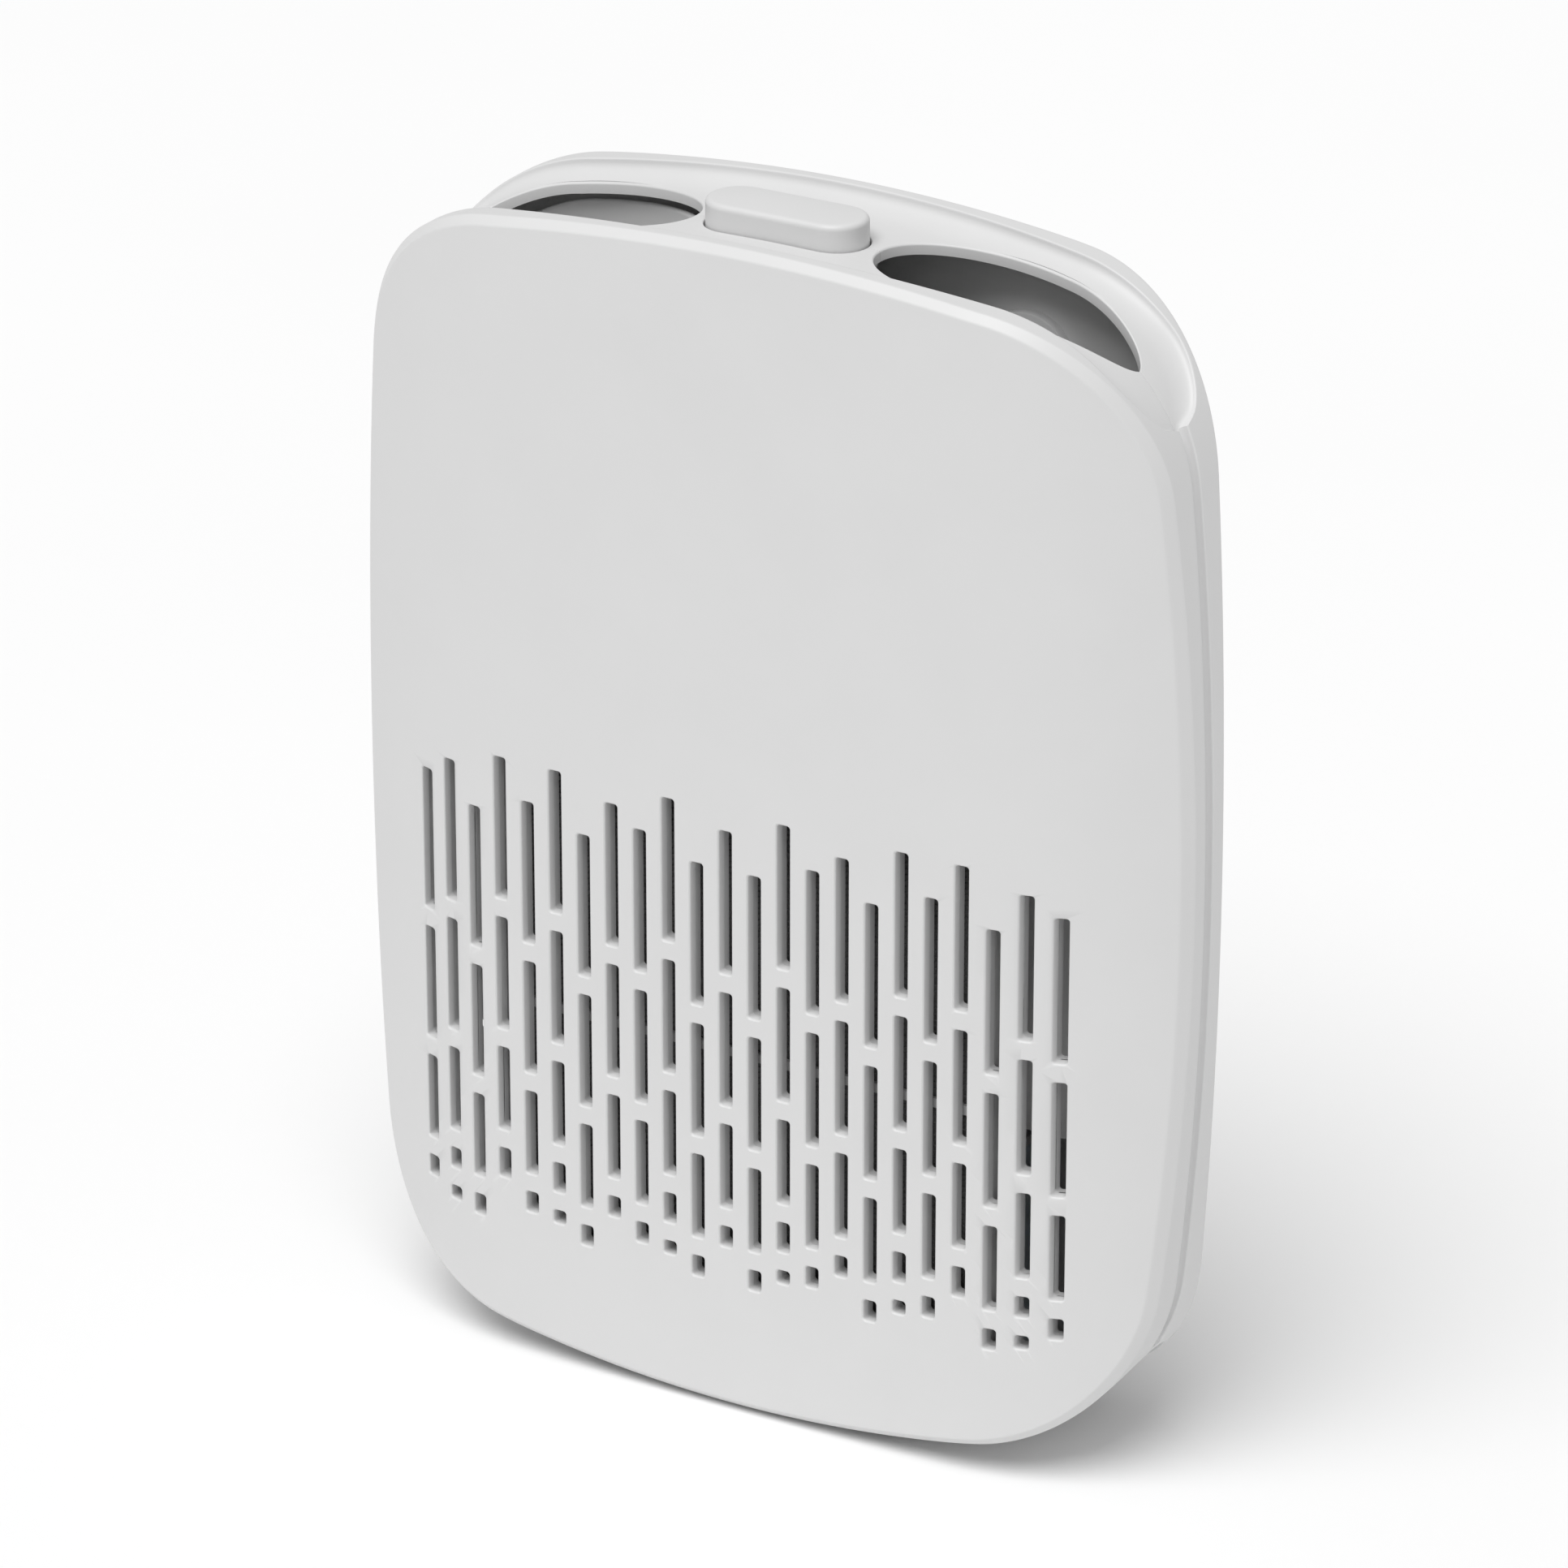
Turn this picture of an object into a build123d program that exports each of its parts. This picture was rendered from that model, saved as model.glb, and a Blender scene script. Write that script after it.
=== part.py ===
from build123d import *
import math
import os

# Slim thermoelectric dehumidifier, in millimetres.
# +Z up, front face towards -Y, origin on the resting plane under the middle of the parting plane.

# ---- overall shape: a cushion-shaped outline, extruded front to back between two lens-shaped faces
half_width = 114.5            # parting plane to the widest point of a side
widest_height = 151.4         # height of that widest point
side_radius = 980.0
top_height = 302.1            # top of both shells
top_radius = 482.0
top_corner_radius = 49.4
shell_bottom = 1.0            # lowest line of both shells
bottom_radius = 376.0
bottom_corner_radius = 50.5
half_depth = 29.5             # parting plane to the middle of a face
face_bend = 54.5              # from the widest point of a side in to where a face begins to bend
face_flat = half_width - face_bend
face_radius = 2500.0
face_side_radius = 90.0
wall = 2.7
edge_chamfer = 2.0

# ---- channel along the top and bottom, where the two shells meet, and the groove down each side
channel_depth = 4.6
channel_lip = 5.2             # from the middle of a face to the channel
channel_half = half_depth - channel_lip    # half width at the middle
channel_radius = 600.0        # its long sides are bowed to this radius
channel_past = 44.98          # how far it runs past the centre of the top corner
base_past = 42.31             # and past the centre of the bottom corner
channel_end_radius = 14.5
groove_radius = 1.9
groove_start = 2.0            # it begins this far inside the end of the top channel
groove_end = 1.2              # and stops this far outside the end of the bottom one

# ---- the two openings in the top channel
opening_from_button = 4.0     # end of the button to the tip nearer the middle
opening_from_end = 11.5       # tip nearer the side to the end of the channel
opening_widest = 54.0
opening_lip = 7.9             # edge of the channel to the widest place of the opening
opening_half = channel_half - opening_lip
opening_point = 0.25          # how far the outer tip leans out, as a slope

# ---- intake slots: columns of slots that step up and down
slot_pitch = 8.0
slot_width = 3.5
slot_corner = 0.8
slot_gap = 5.0
slot_lengths = (37.5, 30.0, 22.5)
slot_short = 5.5
slot_long = 8.0
slot_last = 3.5
slot_top = 145.0              # top of a column at level 0
slot_step = 5.0
slot_levels = (1, 2, 0, 3, 1, 3, 0, 2, 1, 3, 0, 2, 0, 3, 1, 2, 0, 3, 1, 3, 0, 2, 1)
slot_long_level = 3
slot_five = (1, 5, 9, 13, 17, 21)

# ---- power button
button_length = 42.0
button_width = 16.6
button_stand = 6.4            # above the floor of the channel
button_gap = 0.45
button_wall = 1.6
button_travel = 1.6
button_lip = 1.8
button_fillet = 1.4
plunger_radius = 1.6
spring_radius = 2.6
spring_wire = 0.4
spring_turns = 4
spring_x = 12.0
spring_below = 10.1           # top of the shells to the seat of the springs in the button
spring_high = top_height - spring_below
spring_clear = 0.2
spring_cup_wall = 0.6
button_skirt = 3.2            # depth of the lip under the floor of the channel
plunger_wall = 1.2
plunger_stand = 2.4           # plunger above its switch at rest
plunger_spare = 0.2           # left under the plunger when pressed

# ---- fits
touch = 0.05                  # pieces that lie against one another
slide_gap = 0.6               # pieces that slide past one another
shaft_gap = 0.05              # radial running clearance
joined = 0.5                  # overlap of shapes that are fused into one piece
beyond = 60.0                 # further out than either face, for cuts that go right through

# ---- fasteners
screw_radius = 1.45
screw_head_radius = 2.9
screw_head = 2.2
screw_bite = 11.0             # depth of a shell screw in the front boss
screw_seat = 5.5              # where its head seats in the rear boss
screw_clear = 0.25            # radial clearance of a plain screw hole
head_clear = 0.4
thread_clear = 0.02           # threads are left plain: a screw is this much under its pilot hole
boss_radius = 4.2
small_screw_radius = 1.0
small_head_radius = 2.0
small_head = 1.4
small_clear = 0.15
shell_screw_places = ((13.5, 62.0), (13.5, 150.0), (17.5, 238.0))    # in from the widest point, height

# ---- wall hanging: keyholes in the rear shell
keyhole_x = 51.0
keyhole_below = 35.1          # top of the shells to the keyholes
keyhole_z = top_height - keyhole_below
keyhole_head_radius = 4.5
keyhole_slot_radius = 2.2
keyhole_drop = 9.0
keyhole_cup_radius = 12.0
keyhole_cup_depth = 3.0
keyhole_skin = 1.2            # wall left over the cup, which holds the wall screw's head

# ---- grille and filter
grille_thickness = 2.2
grille_inset = 18.5           # in from the widest point of a side
grille_half = half_width - grille_inset
grille_low = 10.0
grille_high = 172.0
grille_clear = 1.0
filter_half = 70.0
filter_low = 22.0
filter_high = 165.0
filter_inset = 7.3            # outside of the front to the filter
filter_front = half_depth - filter_inset    # distance of its front face from the parting plane
filter_depth = 3.0
filter_back = filter_front - filter_depth
filter_border = 4.0
mesh_depth = 1.6
filter_bar = 2.4              # width of the crossed bars in front of the mesh
filter_bar_depth = 1.2

# ---- chassis plate, which carries the cooling stack, the blower and the board
chassis_front = -2.8
chassis_thickness = 3.2
chassis_low = 82.0
chassis_high = 244.0
chassis_edge = 5.5            # inset of the plate from the outside of the shells

# ---- thermoelectric cooling stack
module_side = 40.0
module_thickness = 3.8
module_z = 125.0
pad_side = 58.0
cold_half = 45.0
cold_low = 96.0
cold_high = 156.0
cold_base = 3.2
cold_gap = 1.45               # fins to the filter
hot_half = 45.0
hot_low = 91.0
hot_high = 156.5
hot_base = 4.0
hot_inset = 5.35              # outside of the back to the fins
fin_thickness = 1.2
fin_pitch = 6.0
stack_screw_x = 36.0
stack_screw_z = 26.0
module_clear = 0.1            # foam to module

# ---- blower
blower_x = -50.0
blower_z = 201.0
blower_gap = 4.2              # filter to the blower's inlet
blower_front = blower_gap - filter_back
blower_back = 13.0
blower_radius = 37.0
blower_wall = 1.8
outlet_width = 34.0
outlet_left = blower_x - blower_radius
outlet_right = outlet_left + outlet_width
outlet_high = 247.0
blower_flange = 2.4
blower_flange_reach = 6.5     # flange outside the case
flange_high = 227.0           # the flange stops here, below the outlet
flange_screw_inset = 2.6
blower_screw_turns = (-150.0, -60.0, 30.0)
case_clear = 1.0              # chassis to blower
impeller_clear = 4.2          # impeller to the case's side wall
impeller_radius = blower_radius - blower_wall - impeller_clear
impeller_gap = 1.5
blade_length = 7.0
impeller_eye_radius = impeller_radius - blade_length
inlet_clear = 1.0
blower_inlet_radius = impeller_eye_radius + inlet_clear
blade_count = 30
blade_thickness = 0.9
blade_lean = 28.0
blade_inset = 0.3
rim_thickness = 1.2           # front ring and rear disc
hub_radius = 12.5
hub_wall = 1.3
hub_length = 13.0
hub_boss_wall = 1.6
hub_boss_length = 2.2
shaft_bite = 0.6              # shaft in the hub's end wall
magnet_thickness = 1.5
stator_radius = 8.8
stator_core_wall = 1.2
pole_count = 4
pole_width = 3.0
shoe_width = 6.4
shoe_thickness = 1.4
shaft_radius = 1.5
shaft_press = 0.01            # shaft to hub
bearing_radius = 3.5
bearing_length = 9.0
bearing_wall = 1.4
bearing_cap = 1.0             # case left behind the bearing

# ---- outlet duct under the left opening
duct_gap = 0.7                # duct to the button's lip
duct_half_x = 35.5
duct_x = -(button_length / 2 + button_lip + duct_gap + duct_half_x)
duct_inset = 8.0              # outside of a face to the duct
duct_half_y = half_depth - duct_inset
duct_wall = 1.8
duct_below = 5.4              # rim below the floor of the channel
duct_floor = 2.0
duct_rim_fillet = 0.75

# ---- drip tray
tray_half = 56.0
tray_low = 83.0
tray_high = 93.5
tray_wall = 1.6
tray_gap = 1.0                # filter to the tray
tray_front = tray_gap - filter_back
spout_y = -10.5
spout_radius = 3.6
spout_low = 79.8
spout_wall = 1.4

# ---- water tank, which draws out downwards
tank_half_x = 65.0
tank_lip = 6.7                # edge of the channel to the tank
tank_half_y = channel_half - tank_lip
tank_corner = 8.0
tank_wall = 1.8
tank_top = 74.0
lid_thickness = 2.2
lid_plug = 3.0
seal_radius = 0.9
fill_radius = 6.0
seal_clear = 0.2
plug_wall = 1.6
base_gap = 1.7                # how far the tank base lies inside the outline of the shells
base_clear = 0.3              # between the tank base and the channel's floor
foot_x = 48.0
foot_y = 9.5
foot_radius = 6.0
foot_boss_radius = 7.6
foot_height = 3.4
foot_pocket = 1.0
foot_fillet = 0.8

# ---- float
float_inset = 21.0            # end of the tank to the middle of the float
float_x = tank_half_x - float_inset
float_y = -4.0
float_post_radius = 2.2
float_gap = 0.35
float_side = 17.0
float_height = 11.0
float_low = 34.0
float_magnet_inset = 3.2      # from the float's side
collar_reach = 2.0            # stop under the float
collar_height = 2.5
float_magnet_radius = 2.0
float_magnet_height = 3.0

# ---- electronics
board_left = 12.0
board_right = 92.0
board_low = 172.0
board_high = 228.0
board_front = 8.0
board_thickness = 1.6
board_hole_inset = 5.0
standoff_radius = 3.2
board_cans = ((26, 190, 4.0, 9.0), (36, 190, 4.0, 9.0), (50, 214, 3.2, 8.0))    # x, z, radius, height
board_blocks = (              # left, low, width, height, depth
    (48, 182, 12, 12, 6.0), (66, 190, 10, 8, 3.0), (62, 206, 16, 12, 8.0),
    (24, 210, 12, 6, 6.0), (38, 214, 8, 5, 6.0), (78, 210, 8, 6, 6.0),
)
reed_left = 6.0               # reed switch, measured from over the float's magnet
reed_right = 2.5
reed_front = 8.0
reed_back = 1.0
reed_height = 2.6
jack_x = 48.0
jack_z = 84.0
jack_radius = 5.4
jack_bore = 2.75
jack_pin = 1.0
jack_flange_radius = 7.2
jack_flange = 1.6
jack_length = 15.0
jack_bore_depth = 10.0
jack_nut_radius = 7.6
jack_nut = 2.4
jack_clear = 0.3
jack_pin_sunk = 1.0           # the pin ends inside the face
jack_back = 3.0               # behind the bore
shelf_below = 23.1            # top of the shells to the shelf
shelf_high = top_height - shelf_below
shelf_thickness = 2.2
shelf_half = 19.5
shelf_front = -11.5
shelf_rib = 1.6
shelf_rib_inset = 3.0
shelf_rib_front = 8.0
shelf_rib_drop = 40.0
switch_board_back = 11.0
switch_screw_inset = 4.5
switch_screw_y = 6.0
switch_board_thickness = 1.6
switch_side = 6.2
switch_height = 3.6


def arc(centre, radius, start, end, y):
    # arc in the plane at this y, about a centre (x, z), the short way round
    middle = Vector(
        (start[0] + end[0]) / 2 - centre[0], 0, (start[1] + end[1]) / 2 - centre[1]
    ).normalized() * radius
    return ThreePointArc(
        (start[0], y, start[1]), (centre[0] + middle.X, y, centre[1] + middle.Z), (end[0], y, end[1])
    )


def corner_centre(side_centre, side_reach, end_centre, end_reach):
    # the point to the right at both distances from the two centres
    dx, dz = end_centre[0] - side_centre[0], end_centre[1] - side_centre[1]
    apart = math.hypot(dx, dz)
    along = (side_reach ** 2 - end_reach ** 2 + apart ** 2) / (2 * apart)
    off = math.sqrt(side_reach ** 2 - along ** 2)
    ux, uz = dx / apart, dz / apart
    x, z = side_centre[0] + ux * along, side_centre[1] + uz * along
    return max((x - s * uz * off, z + s * ux * off) for s in (1, -1))


def touch_point(centre, through, radius):
    reach = math.hypot(through[0] - centre[0], through[1] - centre[1])
    return tuple(c + (t - c) * radius / reach for c, t in zip(centre, through))


def right_side(inset, end_inset):
    # centres, radii and tangent points of the arcs of the right half, from the top to the bottom,
    # with the side arc and the top and bottom arcs set in by different amounts
    side = (half_width - side_radius, widest_height)
    top = (0.0, top_height - top_radius)
    bottom = (0.0, shell_bottom + bottom_radius)
    side_reach = side_radius - inset
    top_reach = top_radius - end_inset
    bottom_reach = bottom_radius - end_inset
    high_reach = top_corner_radius - (inset + end_inset) / 2
    low_reach = bottom_corner_radius - (inset + end_inset) / 2
    high = corner_centre(side, side_reach - high_reach, top, top_reach - high_reach)
    low = corner_centre(side, side_reach - low_reach, bottom, bottom_reach - low_reach)
    return {
        "side": (side, side_reach),
        "top": (top, top_reach),
        "bottom": (bottom, bottom_reach),
        "high": (high, high_reach),
        "low": (low, low_reach),
        "points": (
            touch_point(top, high, top_reach),
            touch_point(side, high, side_reach),
            touch_point(side, low, side_reach),
            touch_point(bottom, low, bottom_reach),
        ),
    }


def mirrored(point):
    return (-point[0], point[1])


def channel_end():
    return right_side(0, 0)["high"][0][0] + channel_past


def base_end():
    return right_side(0, 0)["low"][0][0] + base_past


def outline(inset, y, end_inset=None):
    # face of the whole outline, this far inside the shells, in the plane at this y
    half = right_side(inset, inset if end_inset is None else end_inset)
    p = half["points"]
    q = [mirrored(point) for point in p]
    edges = [
        arc(*half["top"], q[0], p[0], y),
        arc(*half["high"], p[0], p[1], y),
        arc(*half["side"], p[1], p[2], y),
        arc(*half["low"], p[2], p[3], y),
        arc(*half["bottom"], p[3], q[3], y),
        arc(mirrored(half["low"][0]), half["low"][1], q[3], q[2], y),
        arc(mirrored(half["side"][0]), half["side"][1], q[2], q[1], y),
        arc(mirrored(half["high"][0]), half["high"][1], q[1], q[0], y),
    ]
    return Face(Wire(edges))


def slab(inset, y_low, y_high, end_inset=None):
    return extrude(outline(inset, y_low, end_inset), amount=y_high - y_low, dir=(0, 1, 0))


def lens(inset, low=-20.0, high=340.0):
    # space between the two curved faces, this far inside them, over the full height
    reach = half_width + 6
    tilt = math.asin(face_flat / face_radius)
    drop = face_radius * (1 - math.cos(tilt))
    middle = half_depth - inset
    flat_x = face_flat - inset * math.sin(tilt)
    flat_y = middle - drop + inset * (1 - math.cos(tilt))
    side_x = face_flat - face_side_radius * math.sin(tilt)
    side_y = half_depth - drop - face_side_radius * math.cos(tilt)
    radius = face_side_radius - inset
    end_y = side_y + math.sqrt(radius ** 2 - (reach - side_x) ** 2)
    half_angle = (math.pi / 2 - tilt + math.asin((end_y - side_y) / radius)) / 2
    bow_x, bow_y = side_x + radius * math.cos(half_angle), side_y + radius * math.sin(half_angle)
    edges = []
    for s in (1, -1):
        edges += [
            ThreePointArc((-flat_x, s * flat_y, low), (0, s * middle, low), (flat_x, s * flat_y, low)),
            ThreePointArc((flat_x, s * flat_y, low), (bow_x, s * bow_y, low), (reach, s * end_y, low)),
            ThreePointArc((-flat_x, s * flat_y, low), (-bow_x, s * bow_y, low), (-reach, s * end_y, low)),
            Line((s * reach, -end_y, low), (s * reach, end_y, low)),
        ]
    return extrude(Face(Wire(edges)), amount=high - low, dir=(0, 0, 1))


def face_y(x, inset):
    # distance of a curved face from the parting plane at this x
    tilt = math.asin(face_flat / face_radius)
    if abs(x) <= face_flat:
        return half_depth - face_radius + math.sqrt((face_radius - inset) ** 2 - x ** 2)
    side_x = face_flat - face_side_radius * math.sin(tilt)
    side_y = half_depth - face_radius * (1 - math.cos(tilt)) - face_side_radius * math.cos(tilt)
    return side_y + math.sqrt((face_side_radius - inset) ** 2 - (abs(x) - side_x) ** 2)


def bottom_z(x, inset):
    # height of the bottom arc of the outline at this x
    return shell_bottom + bottom_radius - math.sqrt((bottom_radius - inset) ** 2 - x ** 2)


def top_z(x, inset):
    return top_height - top_radius + math.sqrt((top_radius - inset) ** 2 - x ** 2)


def block(x0, x1, y0, y1, z0, z1):
    return Pos((x0 + x1) / 2, (y0 + y1) / 2, (z0 + z1) / 2) * Box(x1 - x0, y1 - y0, z1 - z0)


def post(x, z, radius, y0, y1):
    # round bar along Y
    return Pos(x, (y0 + y1) / 2, z) * Rot(X=90) * Cylinder(radius, y1 - y0)


def stem(x, y, radius, z0, z1):
    # round bar along Z
    return Pos(x, y, (z0 + z1) / 2) * Cylinder(radius, z1 - z0)


def channel_plan(grow, end):
    # plan of the channel between the two shells, widened all round
    end = end + grow
    half = channel_half + grow
    radius = channel_radius + grow
    edge = half - radius + math.sqrt(radius ** 2 - end ** 2)
    corner = min(channel_end_radius + grow, edge - 0.2)
    edges = []
    for s in (1, -1):
        edges += [
            ThreePointArc((-end, s * edge, 0), (0, s * half, 0), (end, s * edge, 0)),
            Line((s * end, -edge, 0), (s * end, edge, 0)),
        ]
    face = Face(Wire(edges))
    return fillet(face.vertices(), corner)


def column(plan, low, high):
    # a flat plan raised from one height to another
    return Pos(0, 0, low) * extrude(plan, amount=high - low, dir=(0, 0, 1))


def channel_cut(grow):
    # both channels: everything under that plan and outside their floor, which rises to the
    # depth of the side grooves at each end
    floor = slab(groove_radius + grow, -beyond, beyond, channel_depth + grow)
    cut = column(channel_plan(grow, channel_end()), widest_height, top_height + 20)
    cut += column(channel_plan(grow, base_end()), -20, widest_height)
    return cut - floor


def opening_plan(side):
    # blunt towards the middle and pointed towards the side
    inner = button_length / 2 + opening_from_button
    outer = channel_end() - opening_from_end
    edges = [
        Spline(
            (side * inner, 0), (side * opening_widest, s * opening_half), (side * outer, 0),
            tangents=[(0, s), (side, 0), (side * opening_point, -s)],
        )
        for s in (1, -1)
    ]
    return Face(Wire(edges))


def groove():
    # round groove down the right side, on the parting plane, from the channel to its blind end
    half = right_side(0, 0)
    high, low = half["high"], half["low"]
    p = half["points"]

    def on(circle, x, sign):
        (cx, cz), radius = circle
        return (x, cz + sign * math.sqrt(radius ** 2 - (x - cx) ** 2))

    start = on(high, channel_end() - groove_start, 1)
    end = on(low, base_end() + groove_end, -1)
    path = Wire([arc(*high, start, p[1], 0), arc(*half["side"], p[1], p[2], 0), arc(*low, p[2], end, 0)])
    section = Plane(origin=path @ 0, z_dir=path % 0) * Circle(groove_radius)
    return sweep(section, path=path)


def cushion(y_low, y_high):
    # one half of the outside, with its chamfered rim, channels and groove
    body = slab(0, y_low, y_high) & lens(0)
    rim = [e for e in body.edges() if e.geom_type != GeomType.LINE and abs(e.center().Y) > 1]
    body = chamfer(rim, edge_chamfer)
    right = groove()
    return body - channel_cut(0) - right - mirror(right, about=Plane.YZ)


def distance_inside(point, inset, end_inset):
    # how far a point lies inside that outline, seen from the front
    half = right_side(inset, end_inset)
    x, z = abs(point.X), point.Z
    upper = z > widest_height
    corner, end = ("high", "top") if upper else ("low", "bottom")
    (cx, cz), radius = half[corner]
    at_side, at_end = (half["points"][1], half["points"][0]) if upper else half["points"][2:]
    turn = 1 if upper else -1
    past_side = turn * ((at_side[0] - cx) * (z - cz) - (at_side[1] - cz) * (x - cx)) >= 0
    before_end = turn * ((x - cx) * (at_end[1] - cz) - (z - cz) * (at_end[0] - cx)) >= 0
    if not (past_side and before_end):
        (cx, cz), radius = half["side"] if not past_side else half[end]
    return radius - math.hypot(x - cx, z - cz)


def cavity(y_low, y_high):
    # inside of the shells: clear of the channels and of the grooves by one wall
    belt = groove_radius + wall
    room = slab(wall, y_low, y_high) & lens(wall)
    room -= channel_cut(wall)
    ring = slab(-5, -belt, belt) - slab(belt, -belt - 1, belt + 1)
    return room - ring


def slot_rows():
    # every slot as (x, top, length)
    rows = []
    middle = (len(slot_levels) - 1) / 2
    for i, level in enumerate(slot_levels):
        lengths = list(slot_lengths)
        lengths.append(slot_long if level == slot_long_level else slot_short)
        if i in slot_five:
            lengths.append(slot_last)
        top = slot_top + level * slot_step
        for length in lengths:
            rows.append(((i - middle) * slot_pitch, top, length))
            top -= length + slot_gap
    return rows


def slot_cut(grow, y_low, y_high):
    plan = Plane((0, y_high, 0), x_dir=(1, 0, 0), z_dir=(0, -1, 0))
    cuts = []
    for x, top, length in slot_rows():
        shape = RectangleRounded(slot_width + 2 * grow, length + 2 * grow, slot_corner)
        cuts.append(extrude(plan * Pos(x, top - length / 2) * shape, amount=y_high - y_low))
    return cuts


def screw_places():
    return [(s * (half_width - inset), z) for inset, z in shell_screw_places for s in (1, -1)]


def clamps_chassis(z):
    return chassis_low < z < chassis_high


def front_shell():
    body = cushion(-beyond, 0) - cavity(-beyond, 1)
    inside = lens(wall / 2) & slab(wall / 2, -beyond, 0)
    for x, z in screw_places():
        end = chassis_front - touch if clamps_chassis(z) else 0
        body += post(x, z, boss_radius, -beyond, end) & inside
        body -= post(x, z, screw_radius, -screw_bite, 1)
    for s in (1, -1):
        body -= column(opening_plan(s), top_height - beyond, top_height + 20)
    body -= column(button_plan(button_gap), top_height - 30, top_height + 30)
    body -= tank_way()
    body -= slot_cut(0, -beyond, -filter_front + 2)
    return body


def rear_shell():
    body = cushion(0, beyond) - cavity(-1, beyond)
    inside = lens(wall / 2) & slab(wall / 2, 0, beyond)
    for x, z in screw_places():
        start = chassis_front + chassis_thickness + touch if clamps_chassis(z) else 0
        body += post(x, z, boss_radius, start, beyond) & inside
    for s in (1, -1):
        cup_floor = face_y(keyhole_x, 0) - keyhole_cup_depth - wall
        body += post(s * keyhole_x, keyhole_z, keyhole_cup_radius, cup_floor, beyond) & inside
    body += shelf() & inside
    for x, z in screw_places():
        body -= post(x, z, screw_radius + screw_clear, -1, beyond)
        body -= post(x, z, screw_head_radius + head_clear, screw_seat, beyond)
    for s in (1, -1):
        body -= column(opening_plan(s), top_height - beyond, top_height + 20)
        body -= keyhole(s)
    body -= column(button_plan(button_gap), top_height - 30, top_height + 30)
    body -= tank_way()
    seat = face_y(jack_x, 0) - jack_flange
    body += post(jack_x, jack_z, jack_flange_radius + wall, seat - wall, beyond) & inside
    body -= post(jack_x, jack_z, jack_radius + touch, 0, beyond)
    body -= post(jack_x, jack_z, jack_flange_radius + jack_clear, seat - touch, beyond)
    for x, y in switch_screw_places():
        body -= stem(x, y, small_screw_radius, shelf_high - shelf_thickness - 1, shelf_high + 1)
    return body


def keyhole(side):
    # head hole with a slot above it, through the rear wall into a shallow cup
    x = side * keyhole_x
    outside = face_y(keyhole_x, 0)
    room = outside - keyhole_cup_depth
    low, high = keyhole_z - keyhole_drop / 2, keyhole_z + keyhole_drop / 2
    cut = post(x, low, keyhole_head_radius, outside - wall, beyond)
    cut += block(x - keyhole_slot_radius, x + keyhole_slot_radius, outside - wall, beyond, low, high)
    cut += post(x, high, keyhole_slot_radius, outside - wall, beyond)
    return cut + post(x, keyhole_z, keyhole_cup_radius - wall, room, outside - keyhole_skin)


def shelf():
    # shelf for the switch board, standing in from the rear wall
    plate = block(-shelf_half, shelf_half, shelf_front, beyond, shelf_high - shelf_thickness, shelf_high)
    under = shelf_high - joined
    gusset = Polyline(
        (shelf_rib_front, under), (half_depth, under), (half_depth, shelf_high - shelf_rib_drop), close=True
    )
    for s in (1, -1):
        side = Plane((s * (shelf_half - shelf_rib_inset), 0, 0), x_dir=(0, 1, 0), z_dir=(1, 0, 0))
        plate += extrude(side * make_face(gusset), amount=shelf_rib)
    return plate


def switch_screw_places():
    return [(s * (shelf_half - switch_screw_inset), switch_screw_y) for s in (1, -1)]


def button_plan(grow):
    return SlotOverall(button_length + 2 * grow, button_width + 2 * grow)


def tank_way():
    # the way through the floor of the bottom channel that the tank draws out by
    plan = RectangleRounded(
        2 * (tank_half_x + slide_gap), 2 * (tank_half_y + slide_gap), tank_corner + slide_gap
    )
    return column(plan, -20, 40)


def intake_grille():
    plate = block(-grille_half, grille_half, -beyond, 0, grille_low, grille_high) & lens(wall + touch)
    plate = (plate - lens(wall + touch + grille_thickness)) & slab(wall + 3 * grille_clear, -beyond, 0)
    plate -= channel_cut(wall + grille_clear)
    return plate - slot_cut(0, -beyond, 0)


def filter_frame():
    back = -filter_front + filter_depth
    frame = block(-filter_half, filter_half, -filter_front, back, filter_low, filter_high)
    window = block(
        -filter_half + filter_border, filter_half - filter_border, -beyond, 0,
        filter_low + filter_border, filter_high - filter_border,
    )
    bar, bar_back = filter_bar / 2, -filter_front + filter_bar_depth
    half = filter_half - joined
    middle = (filter_low + filter_high) / 2
    bars = block(-bar, bar, -filter_front, bar_back, filter_low + joined, filter_high - joined)
    bars += block(-half, half, -filter_front, bar_back, middle - bar, middle + bar)
    return frame - window + bars


def filter_mesh():
    edge = filter_border + touch
    front = -filter_front + filter_bar_depth + touch
    return block(
        -filter_half + edge, filter_half - edge, front, front + mesh_depth,
        filter_low + edge, filter_high - edge,
    )


def button_top():
    return top_z(0, channel_depth) + button_stand


def button_floor():
    # underside of the channel's floor at the button
    return top_z(button_length / 2 + button_lip, channel_depth + wall)


def power_button():
    low = button_floor() - button_skirt
    cap = column(button_plan(0), low, button_top())
    crown = [e for e in cap.edges() if e.center().Z > button_top() - 0.01]
    cap = fillet(crown, button_fillet)
    cap += column(button_plan(button_lip), low, button_floor() - touch)
    cap -= column(button_plan(-button_wall), low - 1, button_top() - button_wall)
    tip = switch_top() + plunger_stand
    cap += stem(0, 0, plunger_radius + plunger_wall, tip, button_top() - joined)
    for s in (1, -1):
        cap += spring_seat(s * spring_x)
    return cap


def spring_seat(x):
    # solid down to the spring's top, with a collar round its last turn
    inner = spring_radius + spring_wire + spring_clear
    outer = inner + spring_cup_wall
    collar = stem(x, 0, outer, spring_high - 2 * spring_wire, button_top() - joined)
    return collar - stem(x, 0, inner, spring_high - 3 * spring_wire, spring_high)


def board_top():
    return shelf_high + touch + switch_board_thickness


def switch_top():
    return board_top() + switch_height


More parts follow.
